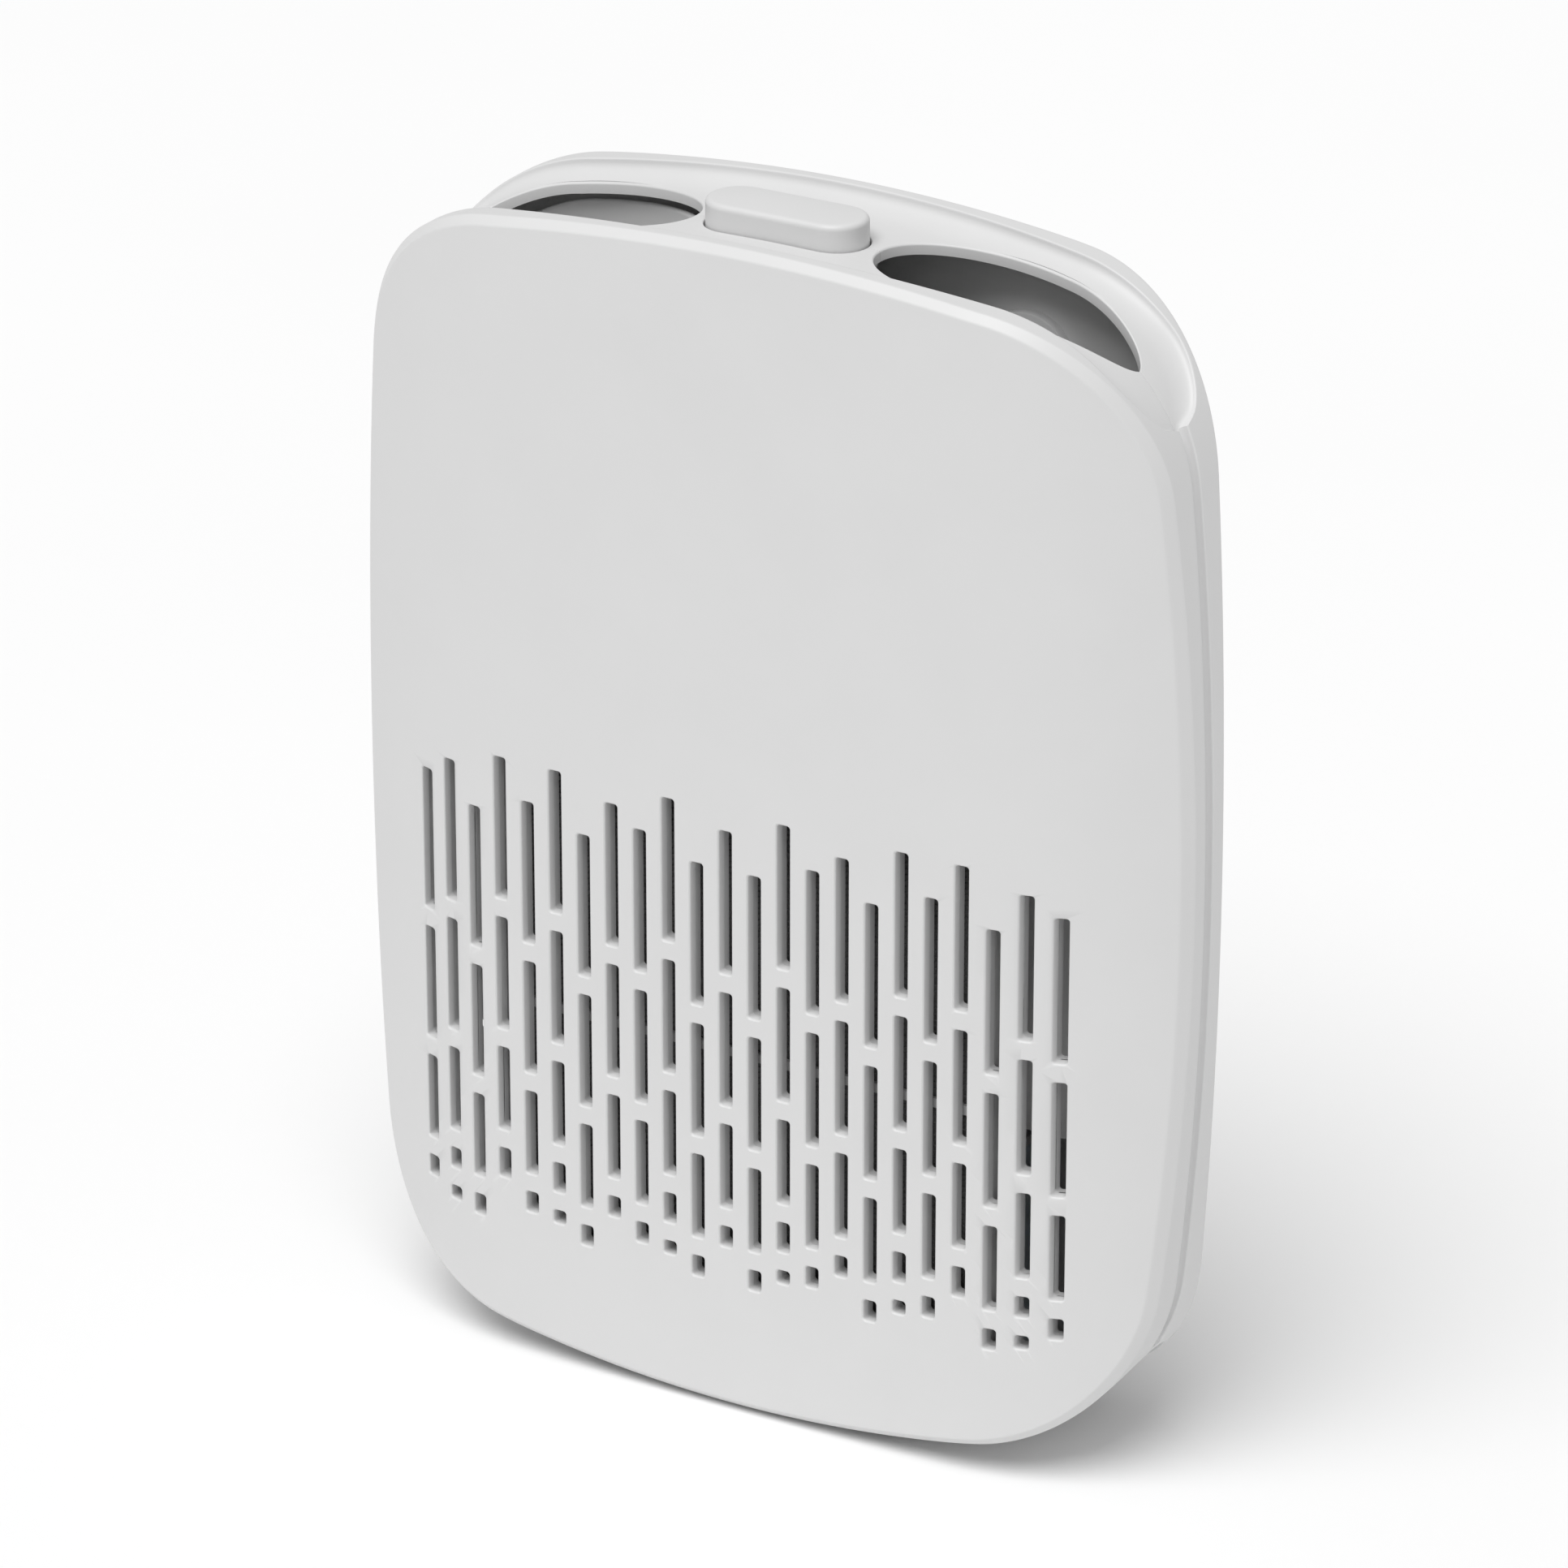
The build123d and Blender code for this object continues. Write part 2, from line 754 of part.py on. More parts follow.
def button_springs():
    coils = []
    height = spring_high - board_top() - 2 * spring_wire
    for s in (1, -1):
        path = Helix(height / spring_turns, height, spring_radius)
        section = Plane(origin=path @ 0, z_dir=path % 0) * Circle(spring_wire)
        coil = sweep(section, path=path)
        coils.append(Pos(s * spring_x, 0, board_top() + spring_wire) * coil)
    return coils


def switch_board():
    board = block(-shelf_half, shelf_half, shelf_front, switch_board_back, shelf_high + touch, board_top())
    for x, y in switch_screw_places():
        board -= stem(x, y, small_screw_radius + small_clear, shelf_high - 1, board_top() + 1)
    return board


def power_switch():
    half = switch_side / 2
    case = block(-half, half, -half, half, board_top(), switch_top())
    return case - stem(0, 0, plunger_radius + touch, switch_top() - plunger_stand, switch_top() + 1)


def switch_plunger():
    low = switch_top() - plunger_stand + button_travel + plunger_spare
    return stem(0, 0, plunger_radius, low, switch_top() + plunger_stand)


def screw_down(x, y, z, length):
    # small pan-head screw pointing down, seated at z
    shank = stem(x, y, small_screw_radius - thread_clear, z - length, z + joined)
    return shank + stem(x, y, small_head_radius, z, z + small_head)


def screw_along(x, z, seat, length, radius, head_radius, head, way):
    # pan-head screw along Y: way +1 points to +Y
    a, b = sorted((seat - way * head, seat))
    c, d = sorted((seat - way * joined, seat + way * length))
    return post(x, z, head_radius, a, b) + post(x, z, radius, c, d)


def shell_screws():
    return [
        screw_along(x, z, screw_seat, screw_seat + screw_bite - 1, screw_radius - thread_clear,
                    screw_head_radius, screw_head, -1)
        for x, z in screw_places()
    ]


def chassis_back():
    return chassis_front + chassis_thickness


def chassis():
    plate = slab(chassis_edge, chassis_front, chassis_back())
    plate &= block(-200, 200, -beyond, beyond, chassis_low, chassis_high)
    plate -= block(-pad_side / 2 - touch, pad_side / 2 + touch, -beyond, beyond,
                   module_z - pad_side / 2 - touch, module_z + pad_side / 2 + touch)
    plate -= scroll(
        blower_radius + case_clear, outlet_left - case_clear, outlet_right + case_clear, top_height,
        -beyond, beyond,
    )
    for x, z in screw_places():
        plate -= post(x, z, screw_radius + screw_clear, -beyond, beyond)
    for x, z in stack_screw_places():
        plate -= post(x, z, screw_radius + screw_clear, -beyond, beyond)
    for x, z in board_holes():
        plate += post(x, z, standoff_radius, chassis_back() - joined, board_front - touch)
        plate -= post(x, z, small_screw_radius, chassis_front - 1, board_front + 1)
    for x, z in blower_screw_places():
        plate -= post(x, z, small_screw_radius, -beyond, beyond)
    return plate


def stack_screw_places():
    return [(s * stack_screw_x, module_z + t * stack_screw_z) for s in (1, -1) for t in (1, -1)]


def module_front():
    return (chassis_front + chassis_back() - module_thickness) / 2


def module_back():
    return module_front() + module_thickness


def peltier_module():
    half = module_side / 2
    return block(-half, half, module_front(), module_back(), module_z - half, module_z + half)


def insulation_pad():
    half, hole = pad_side / 2, module_side / 2 + module_clear
    pad = block(-half, half, module_front() + touch, module_back() - touch, module_z - half, module_z + half)
    return pad - block(-hole, hole, -beyond, beyond, module_z - hole, module_z + hole)


def fins(half, low, high, y0, y1):
    count = int((half - fin_thickness) // fin_pitch)
    return [
        block(i * fin_pitch - fin_thickness / 2, i * fin_pitch + fin_thickness / 2, y0, y1, low, high)
        for i in range(-count, count + 1)
    ]


def cold_sink():
    back = module_front() - touch
    front = back - cold_base
    sink = block(-cold_half, cold_half, front, back, cold_low, cold_high)
    sink += fins(cold_half, cold_low, cold_high, cold_gap - filter_back, front + joined)
    for x, z in stack_screw_places():
        sink -= post(x, z, screw_head_radius + head_clear, -beyond, front)
        sink -= post(x, z, screw_radius + screw_clear, -beyond, beyond)
    return sink


def hot_sink():
    front = module_back() + touch
    back = front + hot_base
    sink = block(-hot_half, hot_half, front, back, hot_low, hot_high)
    sink += fins(hot_half, hot_low, hot_high, back - joined, half_depth - hot_inset)
    for x, z in stack_screw_places():
        sink -= post(x, z, screw_radius, front - 1, front + hot_base - joined)
    return sink


def stack_screws():
    seat = module_front() - touch - cold_base
    length = cold_base + module_thickness + 2 * touch + hot_base - 1
    return [
        screw_along(x, z, seat, length, screw_radius - thread_clear, screw_head_radius, screw_head, 1)
        for x, z in stack_screw_places()
    ]


def scroll(radius, left, right, high, y0, y1):
    # round case with a straight outlet that rises from its left side
    return post(blower_x, blower_z, radius, y0, y1) + block(left, right, y0, y1, blower_z, high)


def blower_hollow(y0, y1):
    return scroll(
        blower_radius - blower_wall, outlet_left + blower_wall, outlet_right - blower_wall,
        outlet_high + 5, y0, y1,
    )


def blower_screw_places():
    reach = blower_radius + blower_flange_reach - flange_screw_inset
    return [
        (blower_x + reach * math.cos(a), blower_z + reach * math.sin(a))
        for a in map(math.radians, blower_screw_turns)
    ]


def blower_split():
    return chassis_back() + touch


def blower_case():
    # rear half of the blower: back wall, side wall, flange on the chassis and the motor's seat
    start = blower_split()
    case = scroll(blower_radius, outlet_left, outlet_right, outlet_high, start, blower_back)
    flange = post(blower_x, blower_z, blower_radius + blower_flange_reach, start, start + blower_flange)
    case += flange & block(-half_width, half_width, -beyond, beyond, 0, flange_high)
    case -= blower_hollow(start - 1, blower_back - blower_wall)
    tube = blower_back - blower_wall - bearing_length
    case += post(blower_x, blower_z, bearing_radius + bearing_wall, tube, blower_back)
    case -= post(blower_x, blower_z, bearing_radius + touch / 2, tube - 1, blower_back - bearing_cap)
    for x, z in blower_screw_places():
        case -= post(x, z, small_screw_radius + small_clear, -beyond, beyond)
    return case


def blower_cover():
    # front half: inlet ring and side wall
    end = blower_split() - touch
    cover = scroll(blower_radius, outlet_left, outlet_right, outlet_high, blower_front, end)
    cover -= blower_hollow(blower_front + blower_wall, end + 1)
    cover -= post(blower_x, blower_z, blower_inlet_radius, -beyond, blower_front + blower_wall + 1)
    return cover


def impeller():
    front = blower_front + blower_wall + impeller_gap
    back = blower_back - blower_wall - impeller_gap
    wheel = post(blower_x, blower_z, impeller_radius, back - rim_thickness, back)
    wheel += post(blower_x, blower_z, impeller_radius, front, front + rim_thickness) - post(
        blower_x, blower_z, impeller_eye_radius, front - 1, front + rim_thickness + 1
    )
    width = impeller_radius - impeller_eye_radius
    blade = Box(width - blade_inset, back - front - rim_thickness, blade_thickness)
    blade = Pos(impeller_radius - width / 2 - blade_inset, 0, 0) * Rot(Y=blade_lean) * blade
    middle = Pos(blower_x, (front + back) / 2, blower_z)
    wheel += [middle * Rot(Y=360.0 * i / blade_count) * blade for i in range(blade_count)]
    hub_front = back - hub_length
    wheel += post(blower_x, blower_z, hub_radius, hub_front, back)
    wheel -= post(blower_x, blower_z, hub_radius - hub_wall, hub_inside(), back + 1)
    wheel += post(blower_x, blower_z, shaft_radius + hub_boss_wall, hub_front, hub_front + hub_boss_length)
    return wheel - post(blower_x, blower_z, shaft_radius, hub_inside() - shaft_bite - touch, back + 1)


def hub_inside():
    # back of the hub's end wall
    return blower_back - blower_wall - impeller_gap - hub_length + hub_wall


def blower_shaft():
    start = hub_inside() - shaft_bite
    return post(blower_x, blower_z, shaft_radius - shaft_press, start, blower_back - 2 * bearing_cap)


def rotor_magnet():
    outer = hub_radius - hub_wall - touch
    start = hub_inside() + hub_wall
    end = blower_back - blower_wall - impeller_gap - joined
    return post(blower_x, blower_z, outer, start, end) - post(
        blower_x, blower_z, outer - magnet_thickness, start - 1, end + 1
    )


def motor_stator():
    # laminated core with its poles, on the case's centre tube
    start = blower_back - blower_wall - bearing_length + joined
    end = blower_back - blower_wall - impeller_gap
    inner = bearing_radius + bearing_wall + touch
    core = post(blower_x, blower_z, inner + stator_core_wall, start, end)
    pole = Pos((inner + stator_radius) / 2, 0, 0) * Box(stator_radius - inner, end - start, pole_width)
    shoe = Pos(stator_radius - shoe_thickness / 2, 0, 0) * Box(shoe_thickness, end - start, shoe_width)
    for i in range(pole_count):
        core += Pos(blower_x, (start + end) / 2, blower_z) * Rot(Y=360.0 * i / pole_count) * (pole + shoe)
    return core - post(blower_x, blower_z, inner, start - 1, end + 1)


def shaft_bearing():
    start = blower_back - blower_wall - bearing_length
    ring = post(blower_x, blower_z, bearing_radius, start, blower_back - bearing_cap - touch)
    return ring - post(blower_x, blower_z, shaft_radius - shaft_press + shaft_gap, start - 1, blower_back)


def blower_screws():
    seat = blower_split() + blower_flange
    return [
        screw_along(x, z, seat, blower_flange + chassis_thickness - 0.2, small_screw_radius - thread_clear,
                    small_head_radius, small_head, -1)
        for x, z in blower_screw_places()
    ]


def duct_column(shrink, low, high):
    return Pos(duct_x, 0, 0) * column(Ellipse(duct_half_x - shrink, duct_half_y - shrink), low, high)


def outlet_duct():
    low = outlet_high + touch
    roof = slab(channel_depth + duct_below, -beyond, beyond)
    duct = duct_column(0, low, top_height) & roof
    duct -= duct_column(duct_wall, low + duct_floor, top_height + 1)
    rim = [
        e for e in duct.edges()
        if e.center().Z > low + 8 and e.geom_type != GeomType.LINE
        and abs(distance_inside(e @ 0.5, channel_depth + duct_below, channel_depth + duct_below)) < 0.3
    ]
    duct = fillet(rim, min(duct_rim_fillet, 0.42 * duct_wall))
    mouth = block(
        outlet_left + blower_wall, outlet_right - blower_wall,
        blower_front + blower_wall, blower_back - blower_wall, low - 1, low + duct_floor + 1,
    )
    return duct - mouth


def drip_tray():
    tray = block(-tray_half, tray_half, tray_front, chassis_front - touch, tray_low, tray_high)
    tray -= block(
        -tray_half + tray_wall, tray_half - tray_wall, tray_front + tray_wall,
        chassis_front - touch - tray_wall, tray_low + tray_wall, tray_high + 1,
    )
    tray += stem(0, spout_y, spout_radius, spout_low, tray_low + 1)
    return tray - stem(0, spout_y, spout_radius - spout_wall, spout_low - 1, tray_high)


def tank_prism(shrink, low, high):
    plan = RectangleRounded(2 * (tank_half_x - shrink), 2 * (tank_half_y - shrink), tank_corner - shrink)
    return column(plan, low, high)


def water_tank():
    # open-topped vessel with a curved floor that lies on the tank base
    floor = channel_depth - base_clear + touch
    tank = tank_prism(0, -20, tank_top) & slab(floor, -beyond, beyond)
    return tank - (tank_prism(tank_wall, -20, tank_top + 1) & slab(floor + tank_wall, -beyond, beyond))


def tank_base():
    # closes the bottom channel, a little inside the shells, and carries the feet
    base = column(channel_plan(-slide_gap, base_end()), -20, widest_height) & slab(base_gap, -beyond, beyond)
    base -= slab(groove_radius - base_clear, -beyond, beyond, channel_depth - base_clear)
    for x, y in foot_places():
        base += stem(x, y, foot_boss_radius, foot_height - foot_pocket, bottom_z(x, base_gap + foot_pocket))
        base -= stem(x, y, foot_radius + touch, -1, foot_height + touch)
    return base


def foot_places():
    return [(s * foot_x, t * foot_y) for s in (1, -1) for t in (1, -1)]


def rubber_feet():
    feet = []
    for x, y in foot_places():
        foot = stem(x, y, foot_radius, 0, foot_height)
        feet.append(fillet([e for e in foot.edges() if e.center().Z < joined], foot_fillet))
    return feet


def lid_low():
    return tank_top + touch


def plug_inset():
    # outside of the lid's plug, inside the seal
    return tank_wall + 2 * seal_radius + seal_clear


def tank_lid():
    lid = tank_prism(0, lid_low(), lid_low() + lid_thickness)
    lid += tank_prism(plug_inset(), lid_low() - lid_plug, lid_low() + joined) - tank_prism(
        plug_inset() + plug_wall, lid_low() - lid_plug - 1, lid_low()
    )
    lid -= stem(0, spout_y, fill_radius, lid_low() - 5, lid_low() + 5)
    collar_low = float_low - touch - collar_height
    lid += stem(float_x, float_y, float_post_radius, collar_low, lid_low() + joined)
    return lid + stem(float_x, float_y, float_post_radius + collar_reach, collar_low, float_low - touch)


def lid_seal():
    top = lid_low() - touch
    ring = tank_prism(tank_wall + touch, top - 2 * seal_radius, top)
    return ring - tank_prism(plug_inset() - touch, 0, top_height)


def float_body():
    half = float_side / 2
    body = Pos(float_x, float_y, 0) * block(-half, half, -half, half, float_low, float_low + float_height)
    body -= stem(float_x, float_y, float_post_radius + float_gap, 0, top_height)
    x, y = magnet_place()
    pocket = float_low + float_height - float_magnet_height - touch
    return body - stem(x, y, float_magnet_radius + touch, pocket, top_height)


def magnet_place():
    return float_x + float_side / 2 - float_magnet_inset, float_y


def float_magnet():
    x, y = magnet_place()
    top = float_low + float_height
    return stem(x, y, float_magnet_radius, top - float_magnet_height, top)


def reed_switch():
    # level sensor under the drip tray, over the float
    x, y = magnet_place()
    high = tray_low - touch
    return block(x - reed_left, x + reed_right, y - reed_front, y + reed_back, high - reed_height, high)


def board_holes():
    i = board_hole_inset
    return [(x, z) for x in (board_left + i, board_right - i) for z in (board_low + i, board_high - i)]


def board_back():
    return board_front + board_thickness


def main_board():
    board = block(board_left, board_right, board_front, board_back(), board_low, board_high)
    for x, z in board_holes():
        board -= post(x, z, small_screw_radius + small_clear, -beyond, beyond)
    return board


def board_parts():
    # capacitors, coil, regulator, relay and the lead sockets
    back = board_back()
    pieces = [post(x, z, radius, back, back + depth) for x, z, radius, depth in board_cans]
    pieces += [block(x, x + w, back, back + depth, z, z + h) for x, z, w, h, depth in board_blocks]
    return pieces


def board_screws():
    return [
        screw_along(x, z, board_back(), board_back() - chassis_front - 0.2, small_screw_radius - thread_clear,
                    small_head_radius, small_head, -1)
        for x, z in board_holes()
    ]


def switch_board_screws():
    length = switch_board_thickness + shelf_thickness
    return [screw_down(x, y, board_top(), length) for x, y in switch_screw_places()]


def dc_jack():
    # its flange lies flush in the back, and a nut holds it from inside
    face = face_y(jack_x, 0)
    jack = post(jack_x, jack_z, jack_radius, face - jack_length, face)
    jack += post(jack_x, jack_z, jack_flange_radius, face - jack_flange, face)
    jack -= post(jack_x, jack_z, jack_bore, face - jack_bore_depth, face + 1)
    return jack + post(jack_x, jack_z, jack_pin, face - jack_length + jack_back, face - jack_pin_sunk)


def jack_nut_ring():
    back = face_y(jack_x, 0) - jack_flange - wall - touch
    plane = Plane((jack_x, back - jack_nut, jack_z), x_dir=(1, 0, 0), z_dir=(0, 1, 0))
    nut = extrude(plane * RegularPolygon(jack_nut_radius, 6), amount=jack_nut)
    return nut - post(jack_x, jack_z, jack_radius + touch, -beyond, beyond)


makers = {
    "front_shell": front_shell,
    "rear_shell": rear_shell,
    "intake_grille": intake_grille,
    "filter_frame": filter_frame,
    "filter_mesh": filter_mesh,
    "power_button": power_button,
    "button_springs": button_springs,
    "switch_plunger": switch_plunger,
    "switch_board": switch_board,
    "power_switch": power_switch,
    "switch_board_screws": switch_board_screws,
    "chassis": chassis,
    "peltier_module": peltier_module,
    "insulation_pad": insulation_pad,
    "cold_sink": cold_sink,
    "hot_sink": hot_sink,
    "stack_screws": stack_screws,
    "blower_case": blower_case,
    "blower_cover": blower_cover,
    "impeller": impeller,
    "blower_shaft": blower_shaft,
    "rotor_magnet": rotor_magnet,
    "motor_stator": motor_stator,
    "shaft_bearing": shaft_bearing,
    "blower_screws": blower_screws,
    "outlet_duct": outlet_duct,
    "drip_tray": drip_tray,
    "reed_switch": reed_switch,
    "water_tank": water_tank,
    "tank_base": tank_base,
    "rubber_feet": rubber_feet,
    "tank_lid": tank_lid,
    "lid_seal": lid_seal,
    "float": float_body,
    "float_magnet": float_magnet,
    "main_board": main_board,
    "board_parts": board_parts,
    "board_screws": board_screws,
    "dc_jack": dc_jack,
    "jack_nut": jack_nut_ring,
    "shell_screws": shell_screws,
}

os.makedirs("parts", exist_ok=True)
for name, make in makers.items():
    shape = make()
    if isinstance(shape, list):
        shape = Compound(children=[solid for piece in shape for solid in piece.solids()])
    export_step(shape, f"parts/{name}.step")
    print(name)
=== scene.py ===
import bpy
import bmesh
import math
import numpy as np
from mathutils import Matrix, Vector


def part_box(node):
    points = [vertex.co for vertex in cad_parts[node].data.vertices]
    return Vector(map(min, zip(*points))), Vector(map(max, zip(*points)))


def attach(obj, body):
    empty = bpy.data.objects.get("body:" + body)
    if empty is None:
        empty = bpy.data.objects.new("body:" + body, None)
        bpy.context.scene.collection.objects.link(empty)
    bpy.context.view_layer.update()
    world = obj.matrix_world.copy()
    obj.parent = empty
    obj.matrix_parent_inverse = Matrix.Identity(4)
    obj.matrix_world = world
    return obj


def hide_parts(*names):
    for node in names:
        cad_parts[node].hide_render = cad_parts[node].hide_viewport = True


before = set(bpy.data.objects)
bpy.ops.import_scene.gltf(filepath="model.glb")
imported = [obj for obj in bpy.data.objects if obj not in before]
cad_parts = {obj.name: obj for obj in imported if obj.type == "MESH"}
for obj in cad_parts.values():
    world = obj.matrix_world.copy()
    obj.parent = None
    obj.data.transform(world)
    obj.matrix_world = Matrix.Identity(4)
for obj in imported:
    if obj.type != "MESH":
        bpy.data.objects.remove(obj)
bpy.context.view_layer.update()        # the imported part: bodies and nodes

mm = 0.001
print("frame loaded:", len(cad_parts), "nodes")

# camera
camera = {"azimuth": 30.38, "elevation": 23.5, "target": (16.4, -29.5, 171.0), "distance": 1916.0,
          "lens": 186.3, "sensor": 36.0}


def placeCamera(c):
    az, el = math.radians(c["azimuth"]), math.radians(c["elevation"])
    back = Vector((math.sin(az) * math.cos(el), -math.cos(az) * math.cos(el), math.sin(el)))
    right = Vector((math.cos(az), math.sin(az), 0))
    data = bpy.data.cameras.new("camera")
    data.lens, data.sensor_width = c["lens"], c["sensor"]
    data.clip_start, data.clip_end = 0.05, 50
    obj = bpy.data.objects.new("camera", data)
    bpy.context.collection.objects.link(obj)
    turn = Matrix((right, back.cross(right), back)).transposed().to_4x4()
    obj.matrix_world = Matrix.Translation((Vector(c["target"]) + back * c["distance"]) * mm) @ turn
    bpy.context.scene.camera = obj


placeCamera(camera)

# small tools


def linear(hexColour):  # sRGB hex to a linear colour with alpha
    parts = [int(hexColour[i:i + 2], 16) / 255 for i in (0, 2, 4)]
    return tuple(p / 12.92 if p <= 0.04045 else ((p + 0.055) / 1.055) ** 2.4 for p in parts) + (1.0,)


def addNode(tree, kind, settings=None, links=None):  # a node with its settings, and links into its inputs
    node = tree.nodes.new(kind)
    for key, value in (settings or {}).items():
        if isinstance(key, str) and hasattr(node, key) and key not in node.inputs:
            setattr(node, key, value)
        else:
            node.inputs[key].default_value = value
    for key, source in (links or {}).items():
        tree.links.new(source, node.inputs[key])
    return node


def mathsIn(tree):  # adds a two-input math node to this tree, with values or links
    def maths(operation, a, b):
        fixed = {k: v for k, v in ((0, a), (1, b)) if isinstance(v, float)}
        linked = {k: v for k, v in ((0, a), (1, b)) if not isinstance(v, float)}
        return addNode(tree, "ShaderNodeMath", {"operation": operation, **fixed}, linked).outputs[0]

    return maths


def meshObject(name, verts, faces, turn=True):  # millimetres in, a closed piece with its faces outwards
    mesh = bpy.data.meshes.new(name)
    mesh.from_pydata([tuple(v) for v in np.asarray(verts, float) * mm], [], faces)
    bm = bmesh.new()
    bm.from_mesh(mesh)
    bmesh.ops.remove_doubles(bm, verts=bm.verts, dist=1e-7)
    if turn:
        bmesh.ops.recalc_face_normals(bm, faces=bm.faces)
    bm.to_mesh(mesh)
    bm.free()
    obj = bpy.data.objects.new(name, mesh)
    bpy.context.collection.objects.link(obj)
    return obj


def rowFaces(rows, count, closed=True):  # quads between neighbouring rows of points
    around = range(count if closed else count - 1)
    return [
        (a * count + i, a * count + (i + 1) % count, (a + 1) * count + (i + 1) % count, (a + 1) * count + i)
        for a in range(rows - 1) for i in around
    ]


def loft(name, rings):  # closed body through rings of equal count, capped at both ends
    count = len(rings[0])
    faces = rowFaces(len(rings), count)
    faces.append(tuple(range(count))[::-1])
    faces.append(tuple((len(rings) - 1) * count + i for i in range(count)))
    return meshObject(name, np.concatenate(rings), faces)


def volume(points, faces):  # signed: negative where the faces look inwards
    total = 0.0
    for face in faces:
        p = points[list(face)]
        total += np.sum(np.cross(p[1:-1], p[2:]) @ p[0])
    return total


def loftGroup(name, bodies):  # several lofted bodies in one mesh
    verts, faces, start = [], [], 0
    for rings in bodies:
        count = len(rings[0])
        own = rowFaces(len(rings), count)
        own.append(tuple(range(count))[::-1])
        own.append(tuple((len(rings) - 1) * count + i for i in range(count)))
        points = np.concatenate(rings)
        if volume(points - points.mean(0), own) < 0:
            own = [face[::-1] for face in own]
        faces += [tuple(start + i for i in face) for face in own]
        verts.append(points)
        start += count * len(rings)
    return meshObject(name, np.concatenate(verts), faces, False)


def carve(obj, tool, operation="DIFFERENCE"):  # boolean with a piece that is then thrown away
    change = obj.modifiers.new("carve", "BOOLEAN")
    change.operation, change.object, change.solver = operation, tool, "EXACT"
    done = bpy.data.meshes.new_from_object(obj.evaluated_get(bpy.context.evaluated_depsgraph_get()))
    obj.modifiers.remove(change)
    obj.data = done
    bpy.data.objects.remove(tool)


def circle(x, z, radius, count=48, start=0.0):
    turn = start + np.linspace(0, 2 * math.pi, count, endpoint=False)
    return np.stack([x + radius * np.cos(turn), z + radius * np.sin(turn)], 1)


def grow(loop, amount):  # a plan moved outwards along its own normals
    ahead, behind = np.roll(loop, -1, 0), np.roll(loop, 1, 0)
    along = ahead - behind
    normal = np.stack([along[:, 1], -along[:, 0]], 1)
    normal /= np.linalg.norm(normal, axis=1)[:, None]
    area = np.sum(loop[:, 0] * ahead[:, 1] - ahead[:, 0] * loop[:, 1])
    return loop + normal * amount * (1 if area > 0 else -1)


# outline of the two shells, seen from the front
shell = {"halfWidth": 114.5, "widest": 151.4, "sideRadius": 980.0, "top": 302.1, "topRadius": 482.0,
         "topCorner": 49.4, "bottom": 1.0, "bottomRadius": 376.0, "bottomCorner": 50.5, "halfDepth": 29.5,
         "faceFlat": 60.0, "faceRadius": 2500.0, "faceSideRadius": 90.0, "wall": 2.7}
channel = {"depth": 4.6, "half": 24.3, "radius": 600.0, "end": 105.0, "lowEnd": 101.5, "cornerRadius": 14.5,
           "groove": 1.9, "sweep": 8.0, "lip": 0.45, "partingGap": 0.05}


def cornerCentre(side, sideReach, end, endReach):
    apart = math.dist(side, end)
    along = (sideReach ** 2 - endReach ** 2 + apart ** 2) / (2 * apart)
    off = math.sqrt(sideReach ** 2 - along ** 2)
    ux, uz = (end[0] - side[0]) / apart, (end[1] - side[1]) / apart
    return max((side[0] + ux * along - s * uz * off, side[1] + uz * along + s * ux * off) for s in (1, -1))


def halfArcs(s, inset, endInset):  # centre and radius of the arcs of the right half, top to bottom
    side = (s["halfWidth"] - s["sideRadius"], s["widest"])
    top, bottom = (0.0, s["top"] - s["topRadius"]), (0.0, s["bottom"] + s["bottomRadius"])
    sideReach = s["sideRadius"] - inset
    topReach, bottomReach = s["topRadius"] - endInset, s["bottomRadius"] - endInset
    high = s["topCorner"] - (inset + endInset) / 2
    low = s["bottomCorner"] - (inset + endInset) / 2
    return [(top, topReach), (cornerCentre(side, sideReach - high, top, topReach - high), high),
            (side, sideReach),
            (cornerCentre(side, sideReach - low, bottom, bottomReach - low), low), (bottom, bottomReach)]


# points, outward normals and arc numbers round the outline, from the top, clockwise
def outlineRing(s, steps):
    arcs = halfArcs(s, 0, 0)

    def angle(through, centre):
        return math.atan2(through[1] - centre[1], through[0] - centre[0])

    (top, _), (high, _), (side, _), (low, _), (bottom, _) = arcs
    turns = [(math.pi / 2, angle(high, top)), (angle(high, top), angle(high, side)),
             (angle(high, side), angle(low, side)), (angle(low, side), angle(low, bottom)),
             (angle(low, bottom), -math.pi / 2)]
    points, normals, which = [], [], []
    for number, (((cx, cz), radius), (first, last), step) in enumerate(zip(arcs, turns, steps)):
        count = max(2, round(abs(first - last) * radius / step))
        for k in range(count + (number == 4)):
            a = first + (last - first) * k / count
            points.append((cx + radius * math.cos(a), cz + radius * math.sin(a)))
            normals.append((math.cos(a), math.sin(a)))
            which.append(number)
    points, normals, which = np.array(points), np.array(normals), np.array(which)
    flip = np.array([-1, 1])
    points = np.concatenate([points, (points * flip)[-2:0:-1]])
    normals = np.concatenate([normals, (normals * flip)[-2:0:-1]])
    return points, normals, np.concatenate([which, which[-2:0:-1]])


